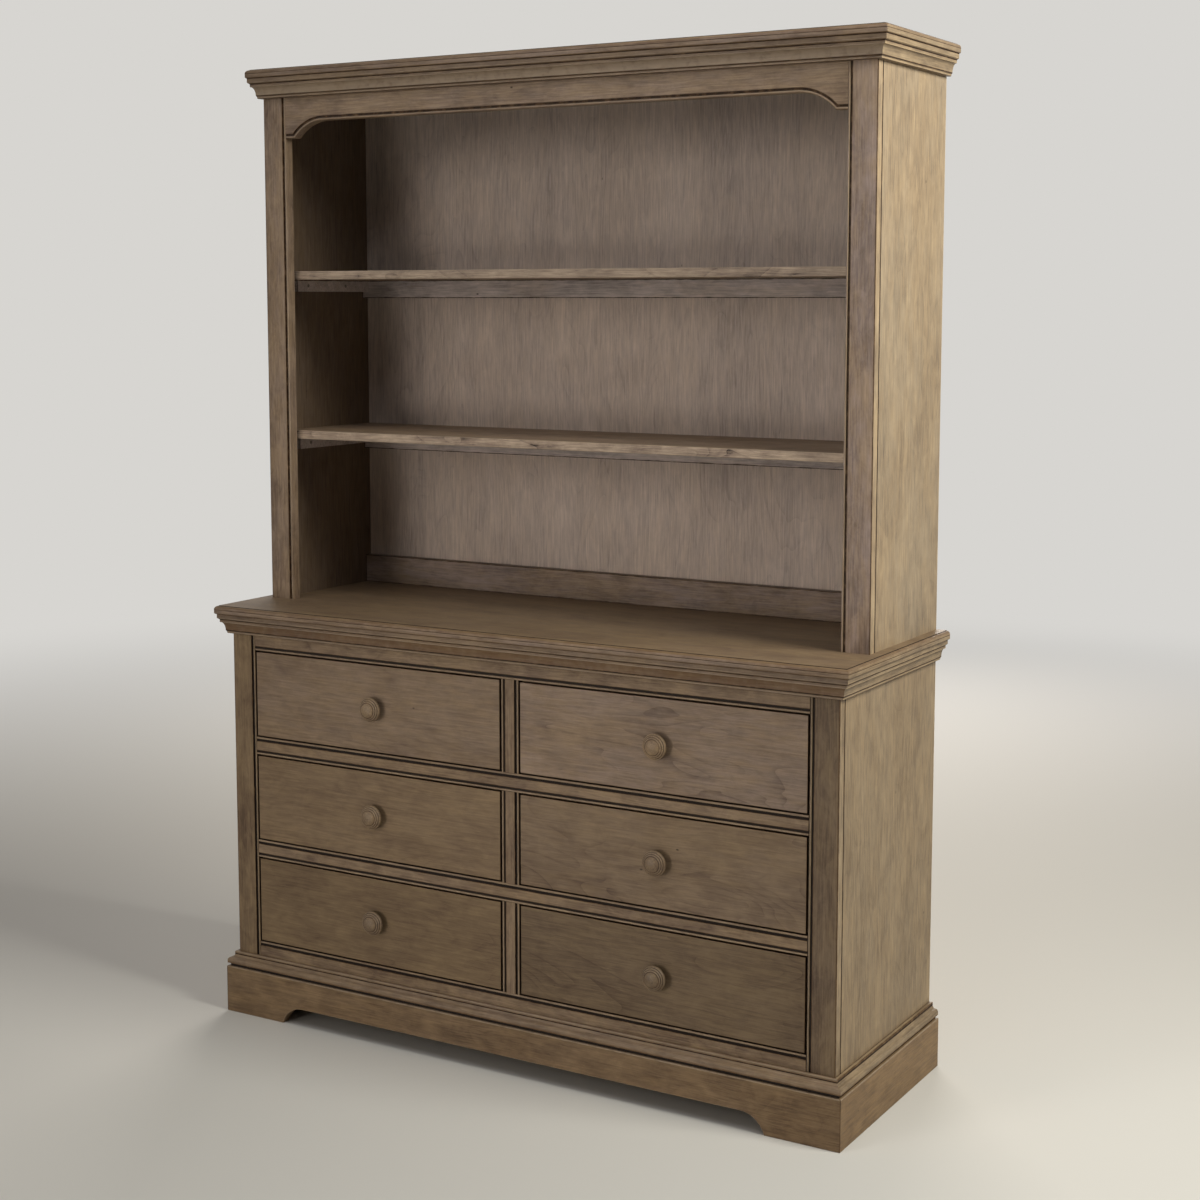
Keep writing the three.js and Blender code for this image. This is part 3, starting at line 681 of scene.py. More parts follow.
Corner = namedtuple("Corner", "a b tint ease", defaults=(None, 0.0))


def arc(centre, radii, start, end, steps):
    """Corners along an arc, between two angles in degrees"""
    corners = []
    for step in range(steps + 1):
        angle = math.radians(start + (end - start) * step / steps)
        corners.append(Corner(centre[0] + radii[0] * math.cos(angle),
                              centre[1] + radii[1] * math.sin(angle)))
    return corners


def eased(before, here, after, tint):
    """One corner rounded off: points on a curve between the two edges beside it"""
    corner = Vector((here.a, here.b))
    to_before = Vector((before.a, before.b)) - corner
    to_after = Vector((after.a, after.b)) - corner
    run = min(here.ease, to_before.length / EASE_PARTS, to_after.length / EASE_PARTS)
    start = corner + to_before.normalized() * run
    end = corner + to_after.normalized() * run
    points = []
    for step in range(EASE_STEPS + 1):
        along = step / EASE_STEPS
        spot = start * (1 - along) ** 2 + corner * 2 * along * (1 - along) + end * along ** 2
        points.append((spot.x, spot.y, tint))
    return points


def aged(outline):
    """Points of a closed outline with their creases: glaze in hollows, and on edges wear with a painted
    highlight, unless one says
    """
    fade = bpy.context.scene.dresser_frame.crease_fade
    area = sum(p.a * q.b - q.a * p.b for p, q in zip(outline, outline[1:] + outline[:1]))
    points = []
    for i, here in enumerate(outline):
        before, after = outline[i - 1], outline[(i + 1) % len(outline)]
        inward = Vector((here.a - before.a, here.b - before.b))
        outward = Vector((after.a - here.a, after.b - here.b))
        turn = -inward.angle_signed(outward, 0.0) * math.copysign(1.0, area)
        tint = here.tint
        if tint is None:
            tint = 0.0 if abs(turn) < SHARP_TURN else -math.copysign(1.0, turn)
        points.extend(eased(before, here, after, tint) if here.ease else [(here.a, here.b, tint)])
    faded = []
    for here, after in zip(points, points[1:] + points[:1]):
        faded.append(here)
        run = Vector(after[:2]) - Vector(here[:2])
        if run.length > FADE_PARTS * fade and here[2] * after[2] < SEAM_GLAZE:
            step = run.normalized() * fade
            if here[2]:
                faded.append((here[0] + step.x, here[1] + step.y, 0.0))
            if after[2]:
                faded.append((after[0] - step.x, after[1] - step.y, 0.0))
    return faded


def rectangle(low, high, corners):
    """Points of a rectangle with its four corners rounded, anticlockwise from the low corner"""
    points = []
    ends = ((low[0], low[1], 180), (high[0], low[1], 270), (high[0], high[1], 0), (low[0], high[1], 90))
    for (a, b, start), radius in zip(ends, corners):
        centre = (a + math.copysign(radius, low[0] + high[0] - 2 * a),
                  b + math.copysign(radius, low[1] + high[1] - 2 * b))
        points.extend((p.a, p.b) for p in arc(centre, (radius, radius), start, start + 90, EASE_STEPS))
    return points


def prism(axis, points, stations):
    """Rings of a prism, from points of (a, b, crease) in (y, z) for axis x, (x, z) for y and (x, y) for z"""
    order = {"x": lambda a, b, s: (s, a, b),
             "y": lambda a, b, s: (a, s, b),
             "z": lambda a, b, s: (a, b, s)}[axis]
    return [[(*order(a, b, station), tint) for a, b, tint in points] for station in stations]


# Meshes and pieces

def close_skin(work, rings):
    """Adds a closed skin over rings of (x, y, z, crease) to a mesh in the making"""
    crease = work.verts.layers.float.get("crease") or work.verts.layers.float.new("crease")
    loops = []
    for ring in rings:
        loop = []
        for x, y, z, tint in ring:
            vertex = work.verts.new((x, y, z))
            vertex[crease] = tint
            loop.append(vertex)
        loops.append(loop)
    faces = [work.faces.new(loops[0]), work.faces.new(loops[-1])]
    for low, high in zip(loops, loops[1:]):
        for i, vertex in enumerate(low):
            j = (i + 1) % len(low)
            faces.append(work.faces.new((vertex, low[j], high[j], high[i])))
    bmesh.ops.recalc_face_normals(work, faces=faces)
    return faces


def finish_mesh(work, name, materials):
    """Turns a mesh in the making into an object, smooth but for its sharp edges"""
    for face in work.faces:
        face.smooth = True
    for edge in work.edges:
        edge.smooth = len(edge.link_faces) == 2 and edge.calc_face_angle() < SHARP_TURN
    mesh = bpy.data.meshes.new(name)
    work.to_mesh(mesh)
    work.free()
    for material in materials:
        mesh.materials.append(material)
    piece = bpy.data.objects.new(name, mesh)
    bpy.context.scene.collection.objects.link(piece)
    return piece


def skin(name, rings, *materials, choose=None):
    """A piece that is one closed skin, each face with the finish that is chosen for the way it looks"""
    work = bmesh.new()
    for face in close_skin(work, rings):
        if choose:
            face.normal_update()
            face.material_index = choose(face.normal)
    return finish_mesh(work, name, materials)


def turned(name, centre, axis, profile, sides, material):
    """A turned piece: its profile gives (radius, way along the axis, crease). A radius may be a function"""
    along = Vector(axis).normalized()
    across = along.orthogonal().normalized()
    other = along.cross(across)
    rings = []
    for radius, way, tint in profile:
        ring = []
        for side in range(sides):
            angle = 2 * math.pi * side / sides
            reach = radius(angle) if callable(radius) else radius
            outward = across * math.cos(angle) + other * math.sin(angle)
            ring.append((*(Vector(centre) + along * way + outward * reach), tint))
        rings.append(ring)
    return skin(name, rings, material)


def seat(piece, node=None, body="root"):
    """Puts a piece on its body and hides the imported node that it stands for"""
    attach(piece, body)
    if node:
        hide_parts(node)


def cover(node, material):
    """Rounds the edges of a packed board with modifiers and gives it a finish"""
    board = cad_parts[node]
    board.modifiers.new("weld", "WELD").merge_threshold = WELD_REACH
    bevel = board.modifiers.new("ease", "BEVEL")
    bevel.width = bpy.context.scene.dresser_boards.board_ease
    bevel.segments = 2
    bevel.limit_method = "ANGLE"
    bevel.harden_normals = True
    board.material_slots[0].material = material


def sided(node, side):
    """The box of a node on one side, and the x of its inner and its outer face"""
    low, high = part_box(node)
    inner, outer = (low.x, high.x) if side > 0 else (high.x, low.x)
    return low, high, inner, outer


# Face frame

def beaded_edge(glazed=1.0, quirk=1.0):
    """The beaded edge of a frame member, as (step in from the opening, step back from the face, crease)"""
    sizes = bpy.context.scene.dresser_frame
    radius = sizes.bead_width / 2
    edge = []
    for p in arc((radius, -radius), (radius, radius), 180, 0, BEAD_STEPS):
        # Glaze at the bead's feet; its crest is painted paler, wear and a painted highlight
        hollow = (-p.b / radius) ** 2 * (glazed if p.a < radius else 1.0)
        edge.append((p.a, -p.b, hollow - BEAD_WEAR_AND_HIGHLIGHT * (1 + p.b / radius)))
    quirk_end = sizes.bead_width + sizes.quirk_width
    edge.append((sizes.bead_width, sizes.quirk_depth, quirk))
    edge.append((quirk_end, sizes.quirk_depth, quirk))
    edge.append((quirk_end, 0.0, 0.7 * quirk))
    return edge


def make_side(unit, side, word, seed, **stain):
    """A side panel, with painted shade on its inner face, which is stained darker, and half of the V line at
    its front edge
    """
    sizes = bpy.context.scene.dresser_frame
    node, name = f"{unit}_side_{word}", f"{unit}_{word}_side_panel"
    low, high, inner, outer = sided(node, side)
    outline = aged([
        Corner(inner, low.y, 0.0),
        Corner(outer - side * sizes.seam_chamfer, low.y, SEAM_GLAZE),
        Corner(outer, low.y + sizes.seam_chamfer, SEAM_GLAZE),
        Corner(outer, high.y, ease=sizes.edge_ease),
        Corner(inner, high.y, 0.0),
    ])
    seed += side * SIDE_SHIFT
    # The outer face takes the side colours, painted light from the right-hand lamp; the inner face is
    # stained darker, painted shade inside the case
    outside = stained(name, "z", seed, "side", banding=0.1, clouding=0.5, **stain)
    inside = stained(f"{name}_inside", "z", seed + 1, banding=0.1, clouding=0.25, depth=0.3)
    piece = skin(name, prism("z", outline, (low.z, high.z)), outside, inside,
                 choose=lambda way: int(way.x * side < -FACING))
    seat(piece, node)


def make_stile(unit, side, word, seed, glazed, quirk, edge_depth, **stain):
    """A stile: beaded on its opening edge, with the other half of the V line behind its outer face"""
    sizes = bpy.context.scene.dresser_frame
    node, name = f"{unit}_stile_{word}", f"{unit}_{word}_beaded_stile"
    low, high, inner, outer = sided(node, side)
    bead = beaded_edge(glazed, quirk)
    outline = aged([
        Corner(inner, high.y, glazed),
        *(Corner(inner + side * step, low.y + back, tint) for step, back, tint in bead),
        Corner(outer, low.y, 0.6, sizes.edge_ease),
        Corner(outer, (low.y + high.y) / 2, 0.0),
        Corner(outer, high.y - sizes.seam_chamfer, SEAM_GLAZE),
        Corner(outer - side * sizes.seam_chamfer, high.y, SEAM_GLAZE),
    ])
    seed += side * SIDE_SHIFT
    front = stained(name, "z", seed, banding=0.5, clouding=0.9, **stain)
    # The face that looks sideways takes the side colours: painted light from the right-hand lamp
    edge = stained(f"{name}_side", "z", seed + 1, "side", depth=edge_depth, coolness=0.4)
    piece = skin(name, prism("z", outline, (low.z, high.z)), front, edge,
                 choose=lambda way: int(way.x * side > FACING))
    seat(piece, node)


def make_rail(word, beaded_foot, beaded_head, seed):
    """A rail, beaded along each edge that meets an opening"""
    node, name = f"{word}_rail", f"{word}_beaded_rail"
    low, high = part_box(node)
    foot, head = [Corner(low.y, low.z, 0.0)], [Corner(low.y, high.z, 0.0)]
    if beaded_foot:
        foot = [Corner(low.y + back, low.z + step, tint) for step, back, tint in beaded_edge()]
    if beaded_head:
        head = [Corner(low.y + back, high.z - step, tint) for step, back, tint in reversed(beaded_edge())]
    outline = aged([Corner(high.y, low.z, 1.0), *foot, *head, Corner(high.y, high.z, 1.0)])
    fade = bpy.context.scene.dresser_frame.crease_fade
    rings = prism("x", outline, (low.x, low.x + fade, high.x - fade, high.x))
    for ring in (rings[0], rings[-1]):
        ring[:] = [(x, y, z, MITRE_GLAZE) for x, y, z, _ in ring]
    seat(skin(name, rings, stained(name, "x", seed, clouding=0.9, coolness=0.3)), node)


def make_mullion(row, seed):
    """A short upright between two drawers, beaded on both edges"""
    node, name = f"{row}_mullion", f"{row}_beaded_mullion"
    low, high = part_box(node)
    edge = beaded_edge()
    outline = aged([
        Corner(low.x, high.y, 1.0),
        *(Corner(low.x + step, low.y + back, tint) for step, back, tint in edge),
        *(Corner(high.x - step, low.y + back, tint) for step, back, tint in reversed(edge)),
        Corner(high.x, high.y, 1.0),
    ])
    wood = stained(name, "z", seed, clouding=0.9, coolness=0.3)
    seat(skin(name, prism("z", outline, (low.z, high.z)), wood), node)


# Mouldings and top boards

def cornice_profile(cove_glaze):
    """The cornice, as (outset, height): bead, cove, fillet and band"""
    sizes = bpy.context.scene.dresser_mouldings
    low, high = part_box("top_moulding_front")
    height = high.z - low.z
    cove_foot = sizes.bead_rise + (sizes.cove_foot - sizes.bead_outset) / 2
    cove_head = cove_foot + sizes.cove_rise
    bead_ease = sizes.bead_outset - sizes.foot_outset
    radii = (sizes.cove_head - sizes.cove_foot, sizes.cove_rise)
    cove = arc((sizes.cove_head, cove_foot), radii, 180, 90, COVE_STEPS)
    return aged([
        Corner(0.0, 0.0, 0.0),
        Corner(sizes.foot_outset, 0.0, 1.0),
        Corner(sizes.bead_outset, bead_ease, -0.5),
        Corner(sizes.bead_outset, sizes.bead_rise - bead_ease, -0.5),
        cove[0]._replace(tint=1.0),
        *(corner._replace(tint=cove_glaze) for corner in cove[1:-1]),
        cove[-1]._replace(tint=0.9),
        Corner(sizes.fillet_outset, cove_head, -0.9, sizes.ease),
        Corner(sizes.fillet_outset, cove_head + sizes.fillet_rise, 1.0),
        Corner(sizes.band_outset, height - sizes.band_rise, -0.6, sizes.ease),
        Corner(sizes.band_outset, height, 1.0),
        Corner(0.0, height, 0.0),
    ])


def base_profile(fillet_glaze, head_glaze):
    """The base moulding, as (outset, height): quirk, nose, ogee and fillet"""
    sizes = bpy.context.scene.dresser_mouldings
    low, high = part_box("base_moulding_front")
    height = high.z - low.z
    nose_foot = sizes.base_quirk_rise + sizes.base_quirk_slope
    nose_head = nose_foot + sizes.nose_rise
    fillet_foot = height - sizes.base_fillet_rise
    middle = (sizes.base_fillet + sizes.nose_outset) / 2
    radii = ((sizes.nose_outset - sizes.base_fillet) / 2, (fillet_foot - nose_head) / 2)
    ogee = arc((middle, nose_head), radii, 0, 90, ROUND_STEPS)
    ogee += arc((middle, fillet_foot), radii, 270, 180, ROUND_STEPS)[1:-1]
    ogee[ROUND_STEPS] = ogee[ROUND_STEPS]._replace(tint=-0.4)
    return aged([
        Corner(0.0, 0.0, 0.0),
        Corner(sizes.base_quirk, 0.0, 1.0),
        Corner(sizes.base_quirk, sizes.base_quirk_rise, 1.0),
        Corner(sizes.nose_outset, nose_foot, 0.4, sizes.ease),
        *ogee,
        Corner(sizes.base_fillet, fillet_foot, 1.0),
        Corner(sizes.base_fillet, (fillet_foot + height) / 2, fillet_glaze),
        Corner(sizes.base_fillet, height, head_glaze, sizes.ease),
        Corner(0.0, height, 1.0),
    ])


def make_moulding(kind, name, profile, side_profile, outset, seed):
    """A moulding in three runs, mitred at the front corners"""
    gap = bpy.context.scene.dresser_mouldings.mitre_gap
    low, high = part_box(f"{kind}_front")
    half = high.x - outset
    front = low.y + outset
    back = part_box(f"{kind}_right")[1].y
    ends = [[(side * (half + out), front - out, low.z + up, tint) for out, up, tint in profile]
            for side, _ in SIDES]
    piece = skin(f"{name}_front", ends, stained(f"{name}_front", "x", seed, depth=0.06))
    seat(piece, f"{kind}_front")
    for side, word in SIDES:
        fore = [(side * (half + out), front - out + gap, low.z + up, tint) for out, up, tint in side_profile]
        rear = [(x, back, z, tint) for x, _, z, tint in fore]
        # The side runs take the side colours: painted light from the right-hand lamp
        wood = stained(f"{name}_{word}", "y", seed + 1 + side / 4, "side", depth=0.1, coolness=0.3)
        seat(skin(f"{name}_{word}", [fore, rear], wood), f"{kind}_{word}")


def make_top(node, name, seed, depth):
    """A top board, rounded above and eased below"""
    sizes = bpy.context.scene.dresser_boards
    fade = bpy.context.scene.dresser_frame.crease_fade
    low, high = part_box(node)
    foot_ease, head_round, step = sizes.top_ease, sizes.top_round, sizes.top_step
    shoulder = high.z - step
    middle = shoulder - head_round
    foot = arc((foot_ease, low.z + foot_ease), (foot_ease, foot_ease), 270, 180, ROUND_STEPS)
    head = arc((head_round, middle), (head_round, head_round), 180, 90, ROUND_STEPS)
    layers = [
        (foot_ease + fade, low.z, 0.6),
        *((p.a, p.b, 0.9 * p.a / foot_ease) for p in foot),
        # A paler line where the rounding meets the face: wear and a painted highlight
        (0.0, middle - fade, -0.4),
        (0.0, middle - fade / 2, 1.0),
        *((p.a, p.b, 0.22) for p in head),
        (head_round + step / 40, shoulder + step / 20, 1.0),
        (head_round + step / 2, high.z, 1.0),
        (head_round + step / 2 + fade, high.z, 0.0),
    ]
    radii = (sizes.top_corner, sizes.top_corner, sizes.top_corner / 4, sizes.top_corner / 4)
    rings = []
    for inset, level, tint in layers:
        plan = rectangle((low.x + inset, low.y + inset), (high.x - inset, high.y), radii)
        rings.append([(x, y, level, tint) for x, y in plan])
    # The top face is stained warmer than the hutch's fronts, in part painted warm light from above; the ends
    # take the side colours, painted light from the right-hand lamp
    top = stained(name, "x", seed, banding=0.3, clouding=0.5, depth=depth, coolness=0.2)
    front = stained(f"{name}_front", "x", seed + 0.5, depth=-0.04, coolness=0.7)
    ends = stained(f"{name}_ends", "y", seed + 1, "side", depth=0.05, coolness=0.3)
    piece = skin(name, rings, top, front, ends,
                 choose=lambda way: 0 if abs(way.z) > FACING else 2 if abs(way.x) > FACING else 1)
    seat(piece, node)


# Arched boards

def arch_line(end, foot_end, foot, rise, run, lift):
    """Points of an arched line from left to right, lifted square to itself"""
    radius = (run * run + rise * rise) / (2 * rise)
    centre = foot + rise - radius
    sweep = math.degrees(math.acos((radius - rise + lift) / (radius + lift)))
    around = (radius + lift, radius + lift)
    right = [(p.a, p.b) for p in arc((foot_end - run, centre), around, 90, 90 - sweep, ARCH_STEPS)]
    left = [(-x, z) for x, z in reversed(right)]
    return [(-end, foot + lift), *left, *right, (end, foot + lift)]


def arched(node, points, head, flat, rise, run, mitred):
    """Rings of an arched board: points of (lift over its line, step back, crease), then its head's points of
    (height, step back, crease). Mitred ends draw in as they step back"""
    low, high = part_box(node)
    lines = {lift: arch_line(high.x, high.x - flat, low.z, rise, run, lift) for lift, _, _ in points}
    rings = []
    for i, (inmost, _) in enumerate(lines[max(lines)]):
        ring = [(*lines[lift][i], back, tint) for lift, back, tint in points]
        ring += [(inmost, z, back, tint) for z, back, tint in head]
        reaches = [high.x - back * mitred for _, _, back, _ in ring]
        rings.append([(max(-reach, min(reach, x)), low.y + back, z, tint)
                      for reach, (x, z, back, tint) in zip(reaches, ring)])
    return rings


def make_plinth_front():
    """The plinth front: an arched board with its edges eased and its ends mitred"""
    sizes = bpy.context.scene.dresser_boards
    fade = bpy.context.scene.dresser_frame.crease_fade
    low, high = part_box("plinth_front")
    ease = sizes.plinth_ease
    thick = high.y - low.y
    edge = arc((ease, ease), (ease, ease), 270, 180, EASE_STEPS)
    # The eased edges are painted paler, the upper one most: wear and a painted highlight
    points = [(0.0, thick, 0.0), *((p.b, p.a, -0.4) for p in edge), (ease + fade, 0.0, 0.0)]
    head = [(high.z - ease - fade, 0.0, 0.0), *((high.z - p.a, p.b, -0.6) for p in edge),
            (high.z, thick, 0.0)]
    rings = arched("plinth_front", points, head, sizes.foot_width, sizes.plinth_rise, sizes.plinth_run, True)
    rings.insert(1, [(x + fade, y, z, tint) for x, y, z, tint in rings[0]])
    rings.insert(-1, [(x - fade, y, z, tint) for x, y, z, tint in rings[-1]])
    for ring in (rings[0], rings[-1]):
        ring[:] = [(x, y, z, MITRE_GLAZE) for x, y, z, _ in ring]
    # Plinth colours, stained deeper: painted warm bounce light and painted shade near the floor
    wood = stained("plinth_front_arched", "x", 21, "plinth", depth=0.16, coolness=0.3)
    seat(skin("plinth_front_arched", rings, wood), "plinth_front")


def make_plinth_side(side, word, seed):
    """A plinth side, mitred to the front"""
    ease = bpy.context.scene.dresser_boards.plinth_ease
    gap = bpy.context.scene.dresser_mouldings.mitre_gap
    node, name = f"plinth_{word}", f"plinth_{word}_board"
    low, high, inner, _ = sided(node, side)
    thick = high.x - low.x
    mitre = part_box("plinth_front")[1].y + gap
    # The outer edges are painted paler, the upper one most: wear and a painted highlight
    section = aged([
        Corner(0.0, low.z, 0.0),
        Corner(thick, low.z, -0.4, ease),
        Corner(thick, high.z, -0.7, ease),
        Corner(0.0, high.z, 0.0),
    ])
    fore = [(inner + side * out, mitre - out, z, tint) for out, z, tint in section]
    rear = [(x, high.y, z, tint) for x, _, z, tint in fore]
    # Plinth colours: painted warm bounce light and painted shade near the floor
    wood = stained(name, "y", seed + side * SIDE_SHIFT, "plinth", banding=0.1, clouding=0.6, depth=0.05,
                   coolness=0.05)
    seat(skin(name, [fore, rear], wood), node)


def make_valance():
    """The valance: an arched board with a bead and a quirk along its lower line"""
    sizes = bpy.context.scene.dresser_boards
    frame_sizes = bpy.context.scene.dresser_frame
    low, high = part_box("valance")
    thick = high.y - low.y
    beside = frame_sizes.bead_width + frame_sizes.quirk_width + frame_sizes.crease_fade
    points = [(0.0, thick, 0.0), *beaded_edge(0.0, HUTCH_QUIRK), (beside, 0.0, 0.0)]
    head = [(high.z, 0.0, 0.0), (high.z, thick, 0.0)]
    rings = arched("valance", points, head, sizes.tip_flat, sizes.valance_rise, sizes.valance_run, False)
    # Paler and cooler like the hutch's stiles: partly a painted bluish sheen
    wood = stained("valance_beaded", "x", 31, depth=-0.12, coolness=0.6)
    seat(skin("valance_beaded", rings, wood), "valance")


# Drawers

def make_front(word, seed, figure, depth, coolness):
    """A drawer front: a flat board with eased edges, glazed where it faces the gap"""
    sizes = bpy.context.scene.dresser_drawers
    fade = bpy.context.scene.dresser_frame.crease_fade
    node, name = f"{word}_drawer_front", f"{word}_drawer_face"
    low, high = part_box(node)
    ease = sizes.front_ease
    layers = [
        (0.0, high.y, 0.1),
        (0.0, low.y + ease + sizes.front_glaze, 0.1),
        (0.0, low.y + ease + fade, 1.0),
        *((p.a, low.y + p.b, p.b / ease) for p in arc((ease, ease), (ease, ease), 180, 270, ROUND_STEPS)),
        (ease + fade, low.y, 0.0),
    ]
    rings = []
    for inset, y, tint in layers:
        plan = rectangle((low.x + inset, low.z + inset), (high.x - inset, high.z - inset),
                         (sizes.front_corner,) * 4)
        rings.append([(x, y, z, tint) for x, z in plan])
    wood = stained(name, "x", seed, figure=figure, banding=0.1, clouding=0.5, fibre=0.2, depth=depth,
                   coolness=coolness)
    seat(skin(name, rings, wood), node, f"{word}_drawer")


def smoothed(points):
    """Points with one more between each pair, on a curve through all of them"""
    result = [points[0]]
    for i, (here, after) in enumerate(zip(points, points[1:])):
        before, beyond = points[max(i - 1, 0)], points[min(i + 2, len(points) - 1)]
        result.append(tuple((9 * (h + a) - b - d) / 16 for b, h, a, d in zip(before, here, after, beyond)))
        result.append(after)
    return result


def make_knob(word, seed, depth):
    """A turned knob: neck, round rim, two ring grooves and a raised centre"""
    node, name = f"{word}_knob", f"{word}_turned_knob"
    low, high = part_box(node)
    radius, reach = (high.x - low.x) / 2, high.y - low.y
    centre = ((low.x + high.x) / 2, high.y, (low.z + high.z) / 2)
    profile = [(out * radius, along * reach, tint) for out, along, tint in smoothed(KNOB_PROFILE)]
    wood = stained(name, "y", seed, shine=2.0, figure=0.2, depth=depth, coolness=0.1)
    seat(turned(name, centre, (0, -1, 0), profile, KNOB_SIDES, wood), node, f"{word}_drawer")


def make_box(word, seed):
    """A drawer box: two dovetailed sides, a front and a back with pins, and a floor between them"""
    sizes = bpy.context.scene.dresser_drawers
    node, name = f"{word}_drawer_box", f"{word}_dovetailed_box"
    low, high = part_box(node)
    wall, gap, flare = sizes.box_wall, sizes.joint_gap, sizes.tail_flare
    pitch = (high.z - low.z) / sizes.tail_count
    half_pin = pitch * sizes.pin_share + flare / 2
    tails = [(low.z + i * pitch + half_pin, low.z + (i + 1) * pitch - half_pin)
             for i in range(sizes.tail_count)]
    near = [(wall, low.z)]
    for foot, head in tails:
        near += [(wall, foot), (0.0, foot - flare), (0.0, head + flare), (wall, head)]
    near.append((wall, high.z))
    outline = [(low.y + step, z, 0.0) for step, z in near]
    outline += [(high.y - step, z, 0.0) for step, z in reversed(near)]
    skins = [(0, prism("x", outline, (start, start + wall))) for start in (low.x, high.x - wall)]
    for face, inward in ((low.y, 1), (high.y, -1)):
        rings = []
        for depth in (0, 1):
            spread = flare * (1 - depth)
            left = [(low.x + wall, low.z), (low.x, low.z)]
            for foot, head in tails:
                a, b = foot - spread - gap, head + spread + gap
                left += [(low.x, a), (low.x + wall, a), (low.x + wall, b), (low.x, b)]
            left += [(low.x, high.z), (low.x + wall, high.z)]
            right = [(low.x + high.x - x, z) for x, z in reversed(left)]
            rings.append([(x, face + inward * depth * wall, z, 0.0) for x, z in left + right])
        skins.append((1, rings))
    floor = low.z + sizes.floor_lift
    plan = rectangle((low.x + wall, low.y + wall), (high.x - wall, high.y - wall), (gap,) * 4)
    skins.append((2, prism("z", [(x, y, 0.0) for x, y in plan], (floor, floor + sizes.box_floor))))
    work = bmesh.new()
    for index, rings in skins:
        for face in close_skin(work, rings):
            face.material_index = index
    materials = [bare("timber", f"{name}_sides", "y", seed), bare("timber", f"{name}_ends", "x", seed + 0.5),
                 bare("ply", f"{name}_floor", "x", seed + 0.25)]
    seat(finish_mesh(work, name, materials), node, f"{word}_drawer")


# Shelves and hardware

def make_shelf(row, seed, depth):
    """A shelf with eased edges and a paler lipping along its front"""
    node, name = f"{row}_shelf", f"{row}_lipped_shelf"
    ease = bpy.context.scene.dresser_boards.board_ease
    low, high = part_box(node)
    outline = aged([
        Corner(low.y, low.z, -0.5, ease),
        Corner(low.y, high.z, -0.5, ease),
        Corner(high.y, high.z, SEAM_GLAZE),
        Corner(high.y, low.z, SEAM_GLAZE),
    ])
    board = stained(name, "x", seed, depth=-0.1)
    lipping = stained(f"{name}_lipping", "x", seed + 1, "lipping", figure=0.5, clouding=1.2, fibre=0.5,
                      depth=depth)
    piece = skin(name, prism("x", outline, (low.x, high.x)), board, lipping,
                 choose=lambda way: int(way.y < -FACING))
    seat(piece, node)


def cross(arm, width):
    """The outline of a cross recess, as a radius at each angle"""
    def radius(angle):
        """How far the cross reaches at an angle"""
        tight = width / max(min(abs(math.sin(angle)), abs(math.cos(angle))), width / arm)
        return min(arm, tight)
    return radius


def make_screw(name, place, axis, radius, height, body="root"):
    """A screw's head, domed a little, with a cross recess"""
    recess = cross(radius * CROSS_ARM, radius * CROSS_WIDTH)
    profile = [(radius * out, height * up, 0.0) for out, up in SCREW_PROFILE]
    profile += [(recess, height, 0.0), (recess, height * CROSS_FLOOR, 0.0)]
    piece = turned(name, place, axis, profile, SCREW_SIDES, bpy.data.materials["screw_steel"])
    seat(piece, body=body)


def make_cleat_screws(row):
    """Two screws through each side cleat of a shelf"""
    sizes = bpy.context.scene.dresser_drawers
    low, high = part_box(f"{row}_shelf_cleats")
    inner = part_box("hutch_back_panel")[1].x - bpy.context.scene.dresser_boards.cleat_thick
    for side, word in SIDES:
        for i, back in enumerate(CLEAT_SCREW_PLACES):
            place = (side * inner, low.y + (high.y - low.y) * back, high.z - sizes.screw_drop)
            make_screw(f"{row}_{word}_cleat_screw_{i + 1}", place, (-side, 0, 0), sizes.screw_radius,
                       sizes.screw_height)


def make_block(name, side, y, end, seed):
    """A three-cornered block behind a foot, with a glide under it"""
    sizes = bpy.context.scene.dresser_boards
    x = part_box("dresser_side_right")[0].x
    leg, foot, ease = sizes.block_side, sizes.glide_height, sizes.block_ease
    outline = aged([
        Corner(side * x, y),
        Corner(side * (x - leg), y, None, ease),
        Corner(side * x, y - end * leg, None, ease),
    ])
    rings = prism("z", outline, (foot, foot + sizes.block_height))
    seat(skin(name, rings, bare("timber", name, "z", seed + side)))
    profile = [(sizes.glide_radius * out, foot * up, 0.0) for out, up in GLIDE_PROFILE]
    centre = (side * (x - leg * GLIDE_PLACE), y - end * leg * GLIDE_PLACE, foot)
    nylon = bpy.data.materials["glide_nylon"]
    seat(turned(f"{name}_glide", centre, (0, 0, 1), profile, SCREW_SIDES, nylon))


# Stage

def set_camera(stage):
    """The camera at the photograph's place and angle"""
    camera = bpy.data.objects.new("camera", bpy.data.cameras.new("camera"))
    bpy.context.scene.collection.objects.link(camera)
    bpy.context.scene.camera = camera
    camera.location = stage.camera_place
    camera.rotation_euler = (math.pi / 2 - stage.camera_tilt, 0.0, stage.camera_turn)
    camera.data.lens = stage.camera_lens
    camera.data.shift_y = stage.camera_shift


def set_lamp(name, lamp, watts):
    """A square lamp that looks at a point"""
    light = bpy.data.lights.new(name, "AREA")
    light.shape = "SQUARE"
    light.size = lamp.size
    light.energy = watts
    light.color = linear(lamp.code)
    light.spread = math.radians(lamp.spread)
    holder = bpy.data.objects.new(name, light)
    holder.location = lamp.place
    holder.rotation_euler = (Vector(lamp.aim) - Vector(lamp.place)).to_track_quat("-Z", "Y").to_euler()
    holder.visible_camera = False
    bpy.context.scene.collection.objects.link(holder)


